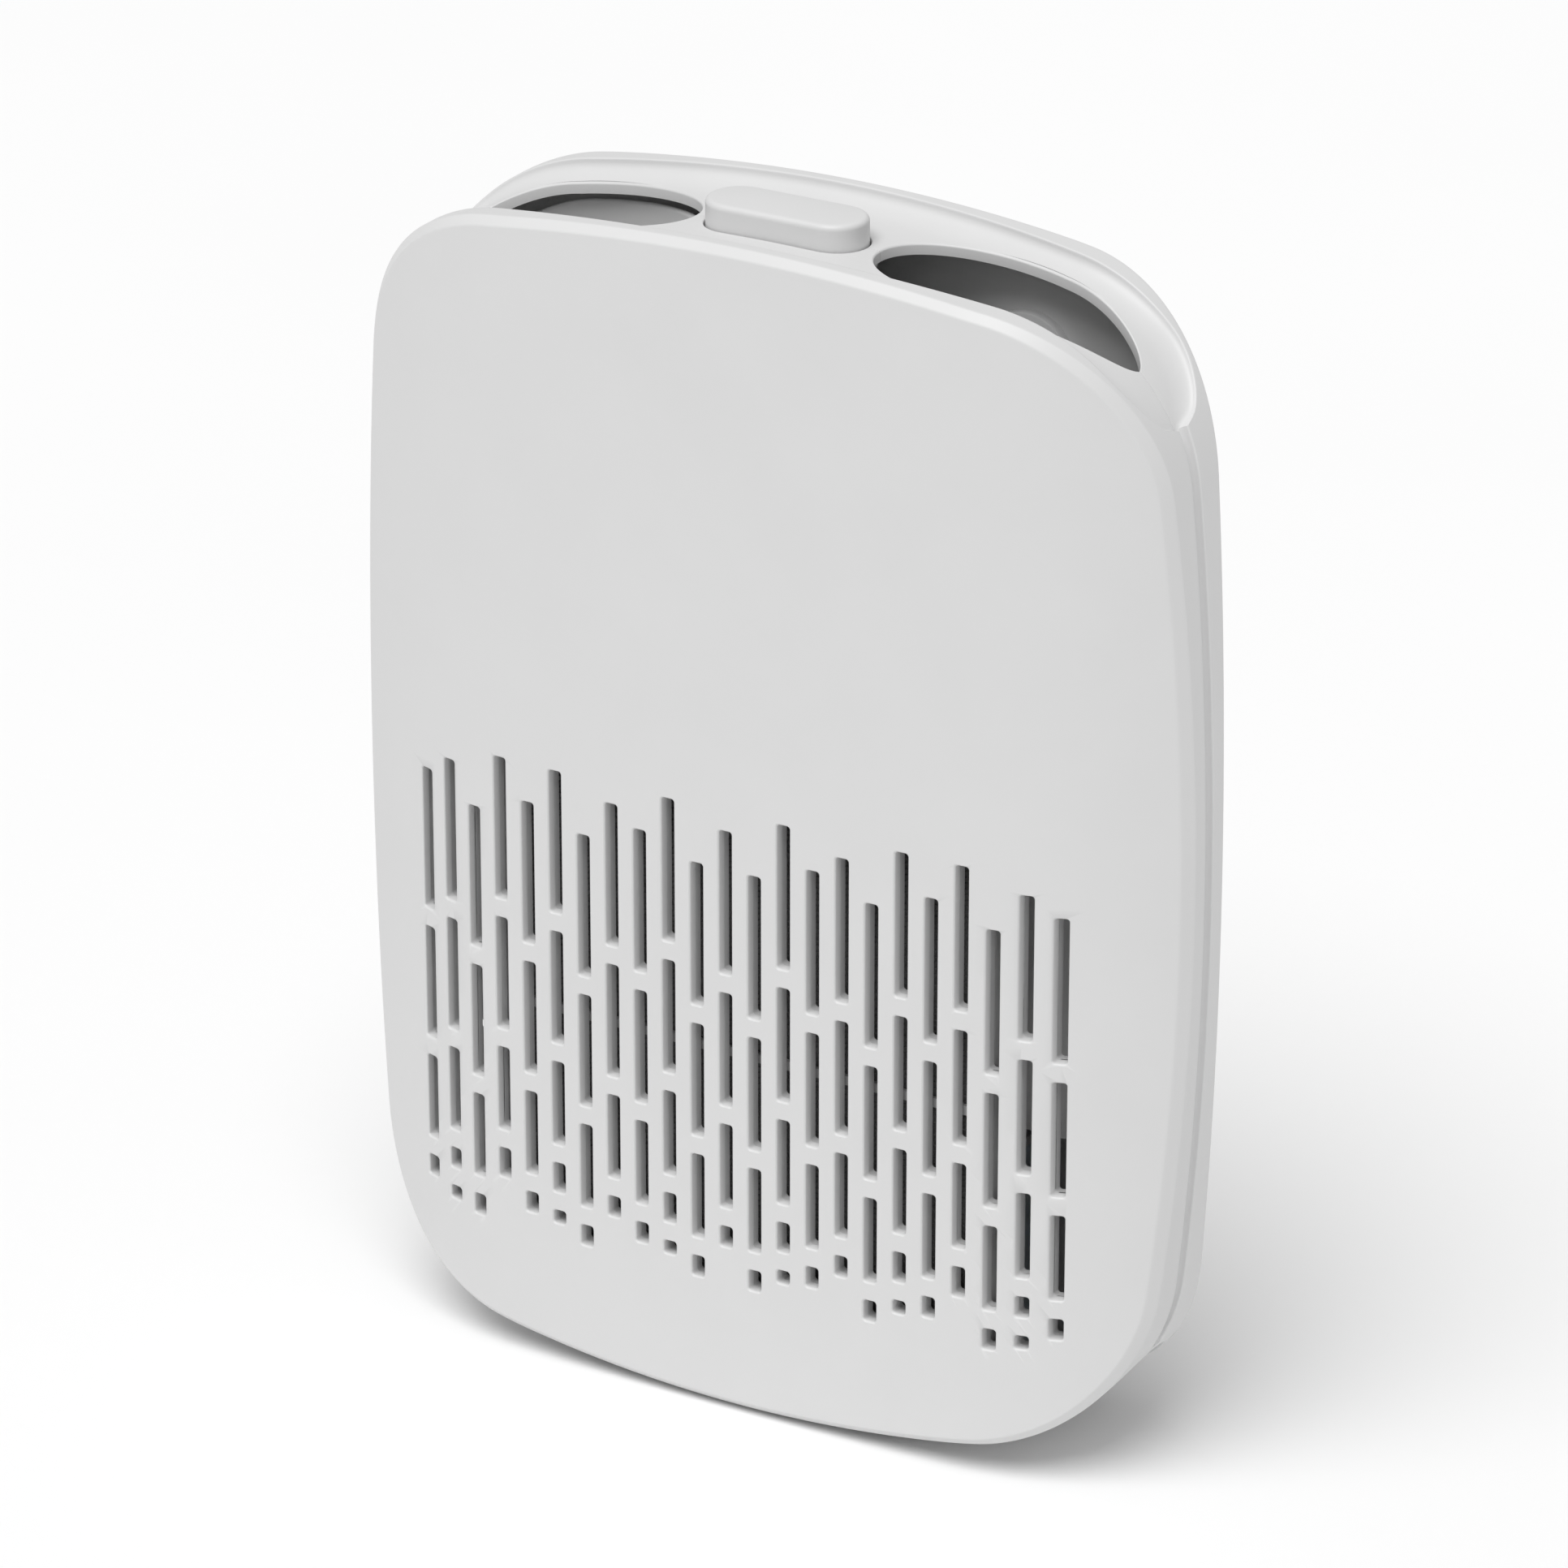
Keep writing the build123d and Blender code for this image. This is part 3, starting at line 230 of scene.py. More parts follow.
def faceY(s, x, inset=0.0):  # distance of a curved face from the parting plane
    x = np.abs(x)
    tilt = math.asin(s["faceFlat"] / s["faceRadius"])
    sideX = s["faceFlat"] - s["faceSideRadius"] * math.sin(tilt)
    sideY = s["halfDepth"] - s["faceRadius"] * (1 - math.cos(tilt)) - s["faceSideRadius"] * math.cos(tilt)
    middle = s["halfDepth"] - s["faceRadius"] + np.sqrt((s["faceRadius"] - inset) ** 2 - x ** 2)
    side = sideY + np.sqrt(np.maximum((s["faceSideRadius"] - inset) ** 2 - (x - sideX) ** 2, 0))
    return np.where(x <= s["faceFlat"], middle, side)


def faceNormal(s, x, sign):  # outward normals of a curved face
    tilt = math.asin(s["faceFlat"] / s["faceRadius"])
    sideX = s["faceFlat"] - s["faceSideRadius"] * math.sin(tilt)
    lean = np.where(np.abs(x) <= s["faceFlat"], x / s["faceRadius"],
                    np.sign(x) * (np.abs(x) - sideX) / s["faceSideRadius"])
    return np.stack([lean, sign * np.sqrt(1 - lean ** 2), np.zeros_like(lean)], 1)


def channelHalf(c, x, end):  # half width of the channel at this x, down to the groove's
    x = np.abs(x)
    radius, corner = c["radius"], c["cornerRadius"]
    edge = c["half"] - radius + np.sqrt(radius ** 2 - np.minimum(x, end) ** 2)
    centre = end - corner
    middle = c["half"] - radius + math.sqrt((radius - corner) ** 2 - centre ** 2)
    rounded = middle + np.sqrt(np.maximum(corner ** 2 - (x - centre) ** 2, 0))
    return np.where(x <= centre * radius / (radius - corner), edge, np.where(x < end, rounded, 0))


def floorDepth(s, c, points, normals, which):  # from the outline to the floor of the channel and the grooves
    inner = halfArcs(s, c["groove"], c["depth"])
    depth = np.zeros(len(points))
    for i, (p, n, k) in enumerate(zip(points, normals, which)):
        mirror = (abs(p[0]) / p[0] if abs(p[0]) > 1e-6 else 1, 1)
        p, n = p * mirror, n * mirror
        (cx, cz), radius = inner[k]
        dx, dz = p[0] - cx, p[1] - cz
        b = n[0] * dx + n[1] * dz
        depth[i] = b - math.sqrt(max(b * b - (dx * dx + dz * dz - radius * radius), 0))
    return depth


ringPoints, ringNormals, ringWhich = outlineRing(shell, (2.2, 0.9, 5.0, 0.9, 3.0))
ringCount = len(ringPoints)
ringDepth = floorDepth(shell, channel, ringPoints, ringNormals, ringWhich)
upper = ringPoints[:, 1] > shell["widest"]
ringX = np.abs(ringPoints[:, 0])
lipHalf = np.where(upper, channelHalf(channel, ringX, channel["end"]),
                   channelHalf(channel, ringX, channel["lowEnd"]))
lipHalf = np.maximum(lipHalf, channel["groove"])
inLowEnd = ~upper & (ringPoints[:, 1] < 60) & (ringX < channel["lowEnd"])
past = np.where(~upper & (ringPoints[:, 1] < 60),
                np.clip(channel["lowEnd"] + 3.2 - ringX, 0, channel["groove"]), 0)
grooveDepth = np.sqrt(np.maximum(channel["groove"] ** 2 - past ** 2, 0))
ringDepth = np.where(inLowEnd, ringDepth, np.where(past > 0, np.minimum(ringDepth, grooveDepth), ringDepth))
ringDepth = np.maximum(ringDepth, 0.06)
print("outline:", ringCount, "points")


def ringRow(inset, y):  # a row of points at this inset from the outline
    inset = np.broadcast_to(inset, (ringCount,))
    flat = ringPoints - ringNormals * inset[:, None]
    return np.stack([flat[:, 0], np.broadcast_to(y, (ringCount,)), flat[:, 1]], 1)


def faceRow(s, inset, drop=0.0, skin=0.0):
    row = ringRow(inset, 0.0)
    row[:, 1] = faceY(s, row[:, 0], skin) - drop
    return row


rimProfile = ((3.0, 0), (2.4, 0), (2.2, 0.01), (1.97, 0.09), (1.8, 0.22), (1.65, 0.36), (0.36, 1.65),
              (0.22, 1.8),
              # inset and drop: a chamfer with narrow soft edges
              (0.09, 1.97), (0.01, 2.2), (0, 2.4), (0, 3.0))
shrinkSteps = (1, 0.985, 0.96) + tuple(0.92 - 0.04 * k for k in range(23))


def shrunk(row, amount, s, skin):  # the same row drawn in towards the middle of the face
    centre = np.array([0.0, 0.0, s["widest"]])
    inner = centre + (row - centre) * amount
    inner[:, 1] = faceY(s, inner[:, 0], skin)
    return inner


def shellBody(name, sign):
    s, c = shell, channel
    rows = []
    start = faceRow(s, rimProfile[0][0])
    rows += [shrunk(start, amount, s, 0.0) for amount in shrinkSteps[:0:-1]]
    rows += [faceRow(s, inset, drop) for inset, drop in rimProfile]
    lip = np.minimum(c["lip"], 0.45 * ringDepth)
    w = lipHalf
    sideTop = rows[-1][:, 1]
    for share in (0.25, 0.5, 0.75, 1.0):
        rows.append(ringRow(0.0, sideTop + (w + lip + 0.35 - sideTop) * share))
    for turn in (0, 30, 60, 90):
        a = math.radians(turn)
        rows.append(ringRow(lip * (1 - math.cos(a)), w + lip * (1 - math.sin(a))))
    sweep = np.where(inLowEnd, 0.5, np.minimum(c["sweep"], w - 0.3))
    rise = np.maximum(ringDepth - lip, 0.01)
    for k in range(1, 15):
        a = math.radians(90 * k / 14)
        rows.append(ringRow(lip + rise * math.sin(a), w - sweep * (1 - math.cos(a))))
    for share in (0.1, 0.4, 0.7, 0.95):
        rows.append(ringRow(ringDepth, (w - sweep) + (0.2 - (w - sweep)) * share))
    rows.append(ringRow(ringDepth + 0.02, 0.14))
    rows.append(ringRow(ringDepth + 0.14, c["partingGap"]))
    rows.append(ringRow(ringDepth + s["wall"], c["partingGap"]))
    inside = faceRow(s, s["wall"], 0.0, s["wall"])
    step = np.minimum(w + s["wall"], inside[:, 1] - 0.3)
    rows.append(ringRow(ringDepth + s["wall"], step))
    rows.append(ringRow(s["wall"], step + 0.01))
    rows.append(inside)
    rows += [shrunk(inside, amount, s, s["wall"]) for amount in (0.9, 0.75, 0.6, 0.45, 0.3, 0.15)]
    faces = rowFaces(len(rows), ringCount)
    verts = list(np.concatenate(rows))
    for row, skin in ((0, 0.0), (len(rows) - 1, s["wall"])):
        pole = len(verts)
        verts.append(np.array([0.0, float(faceY(s, np.array([0.0]), skin)[0]), s["widest"]]))
        faces += [(row * ringCount + i, row * ringCount + (i + 1) % ringCount,
                   pole) for i in range(ringCount)]
    verts = np.array(verts)
    verts[:, 1] *= sign
    return meshObject(name, verts, faces)


# openings and holes, each with a soft edge
# out and down, of the edge's radius
edgeProfile = ((0.0, 1.0), (0.06, 0.66), (0.23, 0.36), (0.5, 0.134), (1.0, -0.3))


def floorHeight(x):  # height of the channel's floor over this x
    top = upper & (ringPoints[:, 0] >= 0)
    fx = (ringPoints - ringNormals * ringDepth[:, None])[top]
    order = np.argsort(fx[:, 0])
    return np.interp(np.abs(x), fx[order, 0], fx[order, 1])


def holeRings(loop, depth, radius, place, above):  # rings of a cutter that leaves a soft edge round the hole
    rings = [place(loop, depth)]
    rings += [place(grow(loop, out * radius), down * radius) for out, down in edgeProfile]
    rings.append(place(grow(loop, radius), -above))
    return rings


def onFace(sign):
    def place(loop, depth):
        y = sign * (faceY(shell, loop[:, 0]) - depth)
        return np.stack([loop[:, 0], y, loop[:, 1]], 1)
    return place


def onFloor(loop, depth):
    return np.stack([loop[:, 0], loop[:, 1], floorHeight(loop[:, 0]) - depth], 1)


opening = {"inner": 25.0, "outer": 93.5, "widest": 54.0, "half": 16.4, "edge": 0.5, "depth": 12.0}


def openingLoop(o, side):  # blunt towards the middle and pointed towards the side
    def bezier(p0, p1, p2, p3, t):
        u = 1 - t
        return u ** 3 * p0 + 3 * u * u * t * p1 + 3 * u * t * t * p2 + t ** 3 * p3

    t = np.linspace(0, 1, 41)[:, None]
    inner, widest, outer = np.array([o["inner"], 0]), np.array([o["widest"],
                                                                o["half"]]), np.array([o["outer"], 0])
    rise = bezier(inner, inner + (0, 11.0), widest - (14.5, 0), widest, t)
    fall = bezier(widest, widest + (17.0, 0), outer + (-2.2, 9.0), outer, t)
    half = np.concatenate([rise, fall[1:]])
    loop = np.concatenate([half, (half * (1, -1))[-2:0:-1]])
    return loop * (side, 1)


def stadium(length, width, count=24):
    a = np.linspace(-math.pi / 2, math.pi / 2, count)
    reach, radius = (length - width) / 2, width / 2
    right = np.stack([reach + radius * np.cos(a), radius * np.sin(a)], 1)
    return np.concatenate([right, -right])


def topCutters():
    o = opening
    loops = [(openingLoop(o, 1), o["edge"]), (openingLoop(o, -1), o["edge"]),
             (stadium(button["length"] + 2 * button["gap"], button["width"] + 2 * button["gap"]), 0.3)]
    return loftGroup("topCutters", [holeRings(loop, o["depth"], edge, onFloor, 30.0) for loop, edge in loops])


def tankWay():
    t = {"halfX": 65.6, "halfY": 18.2, "corner": 8.6}
    turn = [np.linspace(k * math.pi / 2, (k + 1) * math.pi / 2, 9) for k in range(4)]
    centre = [(1, 1), (-1, 1), (-1, -1), (1, -1)]
    loop = np.concatenate([
        np.stack([cx * (t["halfX"] - t["corner"]) + t["corner"] * np.cos(a),
                  cy * (t["halfY"] - t["corner"]) + t["corner"] * np.sin(a)], 1)
        for a, (cx, cy) in zip(turn, centre)
    ])
    return loft("tankWay", [np.column_stack([loop, np.full(len(loop), z)]) for z in (-20.0, 40.0)])


# intake slots, by Geometry Nodes
slots = {"pitch": 8.0, "width": 3.5, "corner": 0.8, "gap": 5.0, "lengths": (37.5, 30.0, 22.5), "short": 5.5,
         "long": 8.0, "last": 3.5, "top": 145.0, "step": 5.0, "edge": 0.6, "depth": 6.0, "above": 6.0,
         "levels": (1, 2, 0, 3, 1, 3, 0, 2, 1, 3, 0, 2, 0, 3, 1, 2, 0, 3, 1, 3, 0, 2, 1),
         "five": (1, 5, 9, 13, 17, 21)}


def slotRows(d):  # middle and length of each slot
    rows, middle = [], (len(d["levels"]) - 1) / 2
    for i, level in enumerate(d["levels"]):
        lengths = list(d["lengths"]) + [d["long"] if level == 3 else d["short"]]
        if i in d["five"]:
            lengths.append(d["last"])
        top = d["top"] + level * d["step"]
        for length in lengths:
            rows.append(((i - middle) * d["pitch"], top - length / 2, length))
            top -= length + d["gap"]
    return rows


def newTree(name, inputs):  # an empty tree with a geometry input and output and these named inputs
    tree = bpy.data.node_groups.new(name, "GeometryNodeTree")
    tree.interface.new_socket("Geometry", in_out="INPUT", socket_type="NodeSocketGeometry")
    for label, (kind, value) in inputs.items():
        socket = tree.interface.new_socket(label, in_out="INPUT", socket_type=kind)
        if value is not None:
            socket.default_value = value
    tree.interface.new_socket("Geometry", in_out="OUTPUT", socket_type="NodeSocketGeometry")
    start = tree.nodes.new("NodeGroupInput")
    return tree, start, tree.nodes.new("NodeGroupOutput")


def grown(obj, tree, values, name):  # the plain mesh that the tree makes of this object
    change = obj.modifiers.new("grown", "NODES")
    change.node_group = tree
    for item in tree.interface.items_tree:
        if item.in_out == "INPUT" and item.name in values:
            change[item.identifier] = values[item.name]
    mesh = bpy.data.meshes.new_from_object(obj.evaluated_get(bpy.context.evaluated_depsgraph_get()))
    bpy.data.objects.remove(obj)
    made = bpy.data.objects.new(name, mesh)
    bpy.context.collection.objects.link(made)
    return made


def pointsObject(name, places, lengths=None):  # loose points in millimetres, with a length each
    mesh = bpy.data.meshes.new(name)
    mesh.from_pydata([tuple(Vector(p) * mm) for p in places], [], [])
    if lengths is not None:
        data = mesh.attributes.new("slotLength", "FLOAT", "POINT")
        data.data.foreach_set("value", [v * mm for v in lengths])
    obj = bpy.data.objects.new(name, mesh)
    bpy.context.collection.objects.link(obj)
    return obj


def floatInput(value):
    return ("NodeSocketFloat", value)


def slotTree():
    # a rounded square, raised through the rings of a soft edge, put at each point and drawn out to its length
    tree, start, end = newTree("slotPattern", {
        "Width": floatInput(0.0035), "Corner": floatInput(0.0008), "Edge": floatInput(0.0006),
        "Depth": floatInput(0.006), "Above": floatInput(0.004), "Material": ("NodeSocketMaterial", None)})
    inp = start.outputs

    maths = mathsIn(tree)
    plan = addNode(tree, "GeometryNodeCurvePrimitiveQuadrilateral", {},
                   {"Width": inp["Width"], "Height": inp["Width"]})
    rounded = addNode(tree, "GeometryNodeFilletCurve", {"mode": "POLY", "Count": 4, "Limit Radius": True},
                      {"Curve": plan.outputs[0], "Radius": inp["Corner"]})
    filled = addNode(tree, "GeometryNodeFillCurve", {"mode": "NGONS"}, {"Curve": rounded.outputs[0]})
    position = addNode(tree, "GeometryNodeInputPosition").outputs[0]
    height = maths("MULTIPLY", inp["Depth"], -1.0)
    low = addNode(tree, "ShaderNodeCombineXYZ", {}, {"Z": height}).outputs[0]
    body = addNode(tree, "GeometryNodeSetPosition", {},
                   {"Geometry": filled.outputs[0], "Offset": low}).outputs[0]
    closed = addNode(tree, "GeometryNodeFlipFaces", {}, {"Mesh": body}).outputs[0]
    size, top = inp["Width"], None
    for out, down in edgeProfile + ((edgeProfile[-1][0], None),):
        level = inp["Above"] if down is None else maths("MULTIPLY", inp["Edge"], -down)
        lift = addNode(tree, "ShaderNodeCombineXYZ", {}, {"Z": maths("SUBTRACT", level, height)}).outputs[0]
        raised = addNode(tree, "GeometryNodeExtrudeMesh",
                         {"mode": "FACES", "Individual": False, "Offset Scale": 1.0},
                         {"Mesh": body, "Offset": lift, **({"Selection": top} if top else {})})
        wider = maths("ADD", inp["Width"], maths("MULTIPLY", inp["Edge"], 2.0 * out))
        ratio = maths("DIVIDE", wider, size)
        scale = addNode(tree, "ShaderNodeCombineXYZ", {"Z": 1.0}, {"X": ratio, "Y": ratio}).outputs[0]
        moved = addNode(tree, "ShaderNodeVectorMath", {"operation": "MULTIPLY"},
                        {0: position, 1: scale}).outputs[0]
        body = addNode(tree, "GeometryNodeSetPosition", {}, {
            "Geometry": raised.outputs["Mesh"], "Selection": raised.outputs["Top"],
            "Position": moved}).outputs[0]
        height, size, top = level, wider, raised.outputs["Top"]
    joined = addNode(tree, "GeometryNodeJoinGeometry")
    for part in (body, closed):
        tree.links.new(part, joined.inputs[0])
    # which end of the slot a point is on, kept from before the slots are put in place
    parts = addNode(tree, "ShaderNodeSeparateXYZ", {}, {0: position})
    marked = addNode(tree, "GeometryNodeStoreNamedAttribute",
                     {"data_type": "FLOAT", "domain": "POINT", "Name": "end"},
                     {"Geometry": joined.outputs[0], "Value": maths("SIGN", parts.outputs["Y"], 0.0)})
    placed = addNode(tree, "GeometryNodeInstanceOnPoints", {},
                     {"Points": inp["Geometry"], "Instance": marked.outputs[0]})
    real = addNode(tree, "GeometryNodeRealizeInstances", {}, {"Geometry": placed.outputs[0]})
    length = addNode(tree, "GeometryNodeInputNamedAttribute", {"data_type": "FLOAT", "Name": "slotLength"})
    mark = addNode(tree, "GeometryNodeInputNamedAttribute", {"data_type": "FLOAT", "Name": "end"})
    half = maths("MULTIPLY", maths("SUBTRACT", length.outputs[0], inp["Width"]), 0.5)
    stretch = addNode(tree, "ShaderNodeCombineXYZ", {}, {"Y": maths("MULTIPLY", mark.outputs[0], half)})
    drawn = addNode(tree, "GeometryNodeSetPosition", {},
                    {"Geometry": real.outputs[0], "Offset": stretch.outputs[0]})
    made = addNode(tree, "GeometryNodeSetMaterial", {},
                   {"Geometry": drawn.outputs[0], "Material": inp["Material"]})
    tree.links.new(made.outputs[0], end.inputs[0])
    return tree


def slotCutters(material):
    d = slots
    rows = slotRows(d)
    points = pointsObject("slotPoints", [(x, z, 0) for x, z, _ in rows], [length for _, _, length in rows])
    values = {"Width": d["width"] * mm, "Corner": d["corner"] * mm, "Edge": d["edge"] * mm,
              "Depth": d["depth"] * mm,
              "Above": d["above"] * mm, "Material": material}
    cutters = grown(points, slotTree(), values, "slotCutters")
    for v in cutters.data.vertices:  # laid on the curved front face: x, height, depth
        x, z, up = v.co
        v.co = (x, -float(faceY(shell, np.array([x / mm]))[0]) * mm - up, z)
    bm = bmesh.new()
    bm.from_mesh(cutters.data)
    bmesh.ops.remove_doubles(bm, verts=bm.verts, dist=1e-6)
    bmesh.ops.recalc_face_normals(bm, faces=bm.faces)
    bm.to_mesh(cutters.data)
    bm.free()
    return cutters


button = {"length": 42.0, "width": 16.6, "gap": 0.45, "top": 303.9, "low": 288.0, "edge": 1.5}


# materials


def plastic(name, hexLow, hexHigh, rough, grain, patch=22.0, bump=0.02, ior=1.46, subsurface=0.0):
    # moulded plastic: a little cloudiness over some centimetres, and the fine even grain of a spark-eroded
    # mould
    material = bpy.data.materials.new(name)
    material.use_nodes = True
    tree = material.node_tree
    shader = tree.nodes["Principled BSDF"]
    shader.inputs["IOR"].default_value = ior
    shader.inputs["Subsurface Weight"].default_value = subsurface
    where = addNode(tree, "ShaderNodeTexCoord").outputs["Object"]
    cloud = addNode(tree, "ShaderNodeTexNoise", {"Scale": 1000 / patch, "Detail": 3.0}, {"Vector": where})
    ramp = addNode(tree, "ShaderNodeMix", {"data_type": "RGBA", 6: linear(hexLow), 7: linear(hexHigh)},
                   {0: cloud.outputs["Fac"]})
    tree.links.new(ramp.outputs[2], shader.inputs["Base Color"])
    fine = addNode(tree, "ShaderNodeTexNoise", {"Scale": 1000 / grain, "Detail": 2.0}, {"Vector": where})
    gloss = addNode(tree, "ShaderNodeMapRange", {3: rough - 0.04, 4: rough + 0.05}, {0: cloud.outputs["Fac"]})
    tree.links.new(gloss.outputs[0], shader.inputs["Roughness"])
    relief = addNode(tree, "ShaderNodeBump", {"Strength": 0.25, "Distance": bump * mm},
                     {"Height": fine.outputs["Fac"]})
    tree.links.new(relief.outputs[0], shader.inputs["Normal"])
    return material


def metal(name, hexLow, hexHigh, rough, grain, stretch=(1, 1, 12), bump=0.01):
    # drawn or rolled metal: fine lines along one way, with a little tarnish
    material = bpy.data.materials.new(name)
    material.use_nodes = True
    tree = material.node_tree
    shader = tree.nodes["Principled BSDF"]
    shader.inputs["Metallic"].default_value = 1.0
    where = addNode(tree, "ShaderNodeTexCoord").outputs["Object"]
    along = addNode(tree, "ShaderNodeMapping", {"Scale": stretch}, {"Vector": where})
    lines = addNode(tree, "ShaderNodeTexNoise", {"Scale": 1000 / grain, "Detail": 3.0},
                    {"Vector": along.outputs[0]})
    tint = addNode(tree, "ShaderNodeMix", {"data_type": "RGBA", 6: linear(hexLow), 7: linear(hexHigh)},
                   {0: lines.outputs["Fac"]})
    tree.links.new(tint.outputs[2], shader.inputs["Base Color"])
    gloss = addNode(tree, "ShaderNodeMapRange", {3: rough - 0.06, 4: rough + 0.08}, {0: lines.outputs["Fac"]})
    tree.links.new(gloss.outputs[0], shader.inputs["Roughness"])
    relief = addNode(tree, "ShaderNodeBump", {"Strength": 0.3, "Distance": bump * mm},
                     {"Height": lines.outputs["Fac"]})
    tree.links.new(relief.outputs[0], shader.inputs["Normal"])
    return material


# ABS, injection moulded and lightly textured: an even grey-white with a soft sheen
shellAbs = plastic("mouldedAbsPaleGrey", "d6d6d6", "dadada", 0.42, 0.55)
# ABS, the same, matt on the inside where the mould is not polished
grilleAbs = plastic("mouldedAbsGrille", "c4c4c4", "cacaca", 0.6, 0.7)
innerAbs = plastic("mouldedAbsInner", "cdcdcd", "d4d4d4", 0.55, 0.8)
# glass-filled nylon: dark, matt, a coarser grain from the fibres
darkNylon = plastic("glassFilledNylonBlack", "161616", "202020", 0.6, 0.6, 12.0, 0.03, 1.53)
# polypropylene, natural: milky, a little light goes in
tankPp = plastic("naturalPolypropylene", "c3cacd", "ccd2d5", 0.38, 1.2, 30.0, 0.01, 1.49, 0.15)
# silicone rubber: dark, dull
rubberDark = plastic("siliconeRubberGrey", "2a2a2a", "333333", 0.75, 0.5, 8.0, 0.03, 1.41)
foamClosed = plastic("closedCellFoam", "1b1b1b", "2a2a2a", 0.9, 0.9, 4.0, 0.25, 1.4)
floatFoam = plastic("foamedPolystyrene", "ddd6b0", "e6e0c0", 0.7, 1.4, 6.0, 0.12, 1.5)
# polyester net
netCloth = plastic("polyesterNet", "6e6e6e", "7e7e7e", 0.8, 0.4, 5.0, 0.05, 1.55)
# non-woven polyester, pressed: dull, cloudy where the fibres lie thicker
filterFelt = plastic("nonWovenPolyester", "868686", "9c9c9c", 0.92, 0.6, 3.0, 0.1, 1.5)
# alumina ceramic faces, fired: white and dry
ceramic = plastic("aluminaCeramic", "e9e8e2", "f1f0ea", 0.5, 0.9, 10.0, 0.02, 1.76)
# glass-epoxy laminate under a green solder mask
boardGreen = plastic("solderMaskGreen", "1c4a2c", "235536", 0.35, 1.8, 9.0, 0.03, 1.5)
# ferrite, pressed and sintered
ferrite = plastic("sinteredFerrite", "1e1d1c", "2b2a28", 0.6, 0.5, 5.0, 0.03, 1.6)
extruded = metal("extrudedAluminium", "b4b6b8", "c9cbcc", 0.35, 0.8)
zincSteel = metal("zincPlatedSteel", "a9abac", "c2c4c5", 0.32, 0.5, (1, 1, 1))
springWire = metal("drawnSpringSteel", "8f9193", "b0b2b3", 0.28, 0.4, (1, 1, 4))
bronze = metal("sinteredBronze", "8a6a3c", "a5834e", 0.42, 0.3, (1, 1, 1))
print("materials ready")

nodeMaterials = {
    grilleAbs: ("intake_grille", "filter_frame"),
    innerAbs: ("chassis", "outlet_duct", "drip_tray", "tank_lid"),
    darkNylon: ("switch_plunger", "power_switch", "blower_case", "blower_cover", "impeller", "reed_switch",
                "board_parts", "dc_jack"),
    tankPp: ("water_tank",),
    rubberDark: ("rubber_feet", "lid_seal"),
    foamClosed: ("insulation_pad",),
    floatFoam: ("float",),
    netCloth: ("filter_mesh",),
    ceramic: ("peltier_module",),
    boardGreen: ("switch_board", "main_board"),
    ferrite: ("rotor_magnet", "float_magnet"),
    extruded: ("cold_sink", "hot_sink"),
    zincSteel: ("switch_board_screws", "stack_screws", "blower_shaft", "motor_stator", "blower_screws",
                "board_screws", "jack_nut", "shell_screws"),
    springWire: ("button_springs",),
    bronze: ("shaft_bearing",),
    shellAbs: ("front_shell", "rear_shell", "power_button", "tank_base"),
}
for material, names in nodeMaterials.items():
    for name in names:
        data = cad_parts[name].data
        data.materials.clear()
        data.materials.append(material)

# shading of finished pieces


def finishShading(obj, material, faceSign=0, sharp=38.0):
    # smooth, split along sharp edges, with exact normals on the curved face so that no hole shows round its
    # edge
    mesh = obj.data
    mesh.materials.clear()
    mesh.materials.append(material)
    mesh.shade_smooth()
    mesh.set_sharp_from_angle(angle=math.radians(sharp))
    if not faceSign:
        return
    count = len(mesh.vertices)
    co = np.empty(count * 3)
    mesh.vertices.foreach_get("co", co)
    co = co.reshape(-1, 3) / mm
    on = np.abs(co[:, 1] * faceSign - faceY(shell, co[:, 0])) < 0.006
    exact = faceNormal(shell, co[:, 0], faceSign)
    loops = np.empty(len(mesh.loops) * 3)
    mesh.loops.foreach_get("vertex_index", vertexOf := np.empty(len(mesh.loops), dtype=np.int32))
    mesh.corner_normals.foreach_get("vector", loops)
    loops = loops.reshape(-1, 3)
    starts = np.empty(len(mesh.polygons), dtype=np.int32)
    totals = np.empty(len(mesh.polygons), dtype=np.int32)
    mesh.polygons.foreach_get("loop_start", starts)
    mesh.polygons.foreach_get("loop_total", totals)
    onLoop = on[vertexOf]
    whole = np.add.reduceat(onLoop.astype(int), starts) == totals
    pick = np.repeat(whole, totals)
    loops[pick] = exact[vertexOf[pick]]
    mesh.normals_split_custom_set(loops.tolist())


# bosses, cups and shelf inside the shells
inside = {"bossRadius": 4.2, "screwHole": 1.7, "pilotHole": 1.45, "pilotDepth": 11.0, "headHole": 3.3,
          "headSeat": 5.5,
          "places": ((101.0, 62.0, 0), (101.0, 150.0, 1), (97.0, 238.0, 1)), "plateFront": 2.85,
          "plateBack": 0.45,
          "keyholeX": 51.0, "keyholeZ": 267.0, "cupRadius": 12.0, "cupDepth": 3.0, "cupSkin": 1.2,
          "headRadius": 4.5,
          "slotRadius": 2.2, "drop": 9.0, "jackX": 48.0, "jackZ": 84.0, "jackSeat": 1.65, "jackRadius": 5.45,
          "jackFlange": 7.35, "jackBoss": 9.9, "shelfHalf": 19.5, "shelfFront": -11.5, "shelfTop": 279.0,
          "shelfThick": 2.2, "ribDrop": 40.0, "ribFront": 8.0, "ribThick": 1.6, "edge": 0.35,
          # rings turned a little: unturned, the boolean left one hole open
          "bossTurn": 0.06, "holeTurn": 0.05}


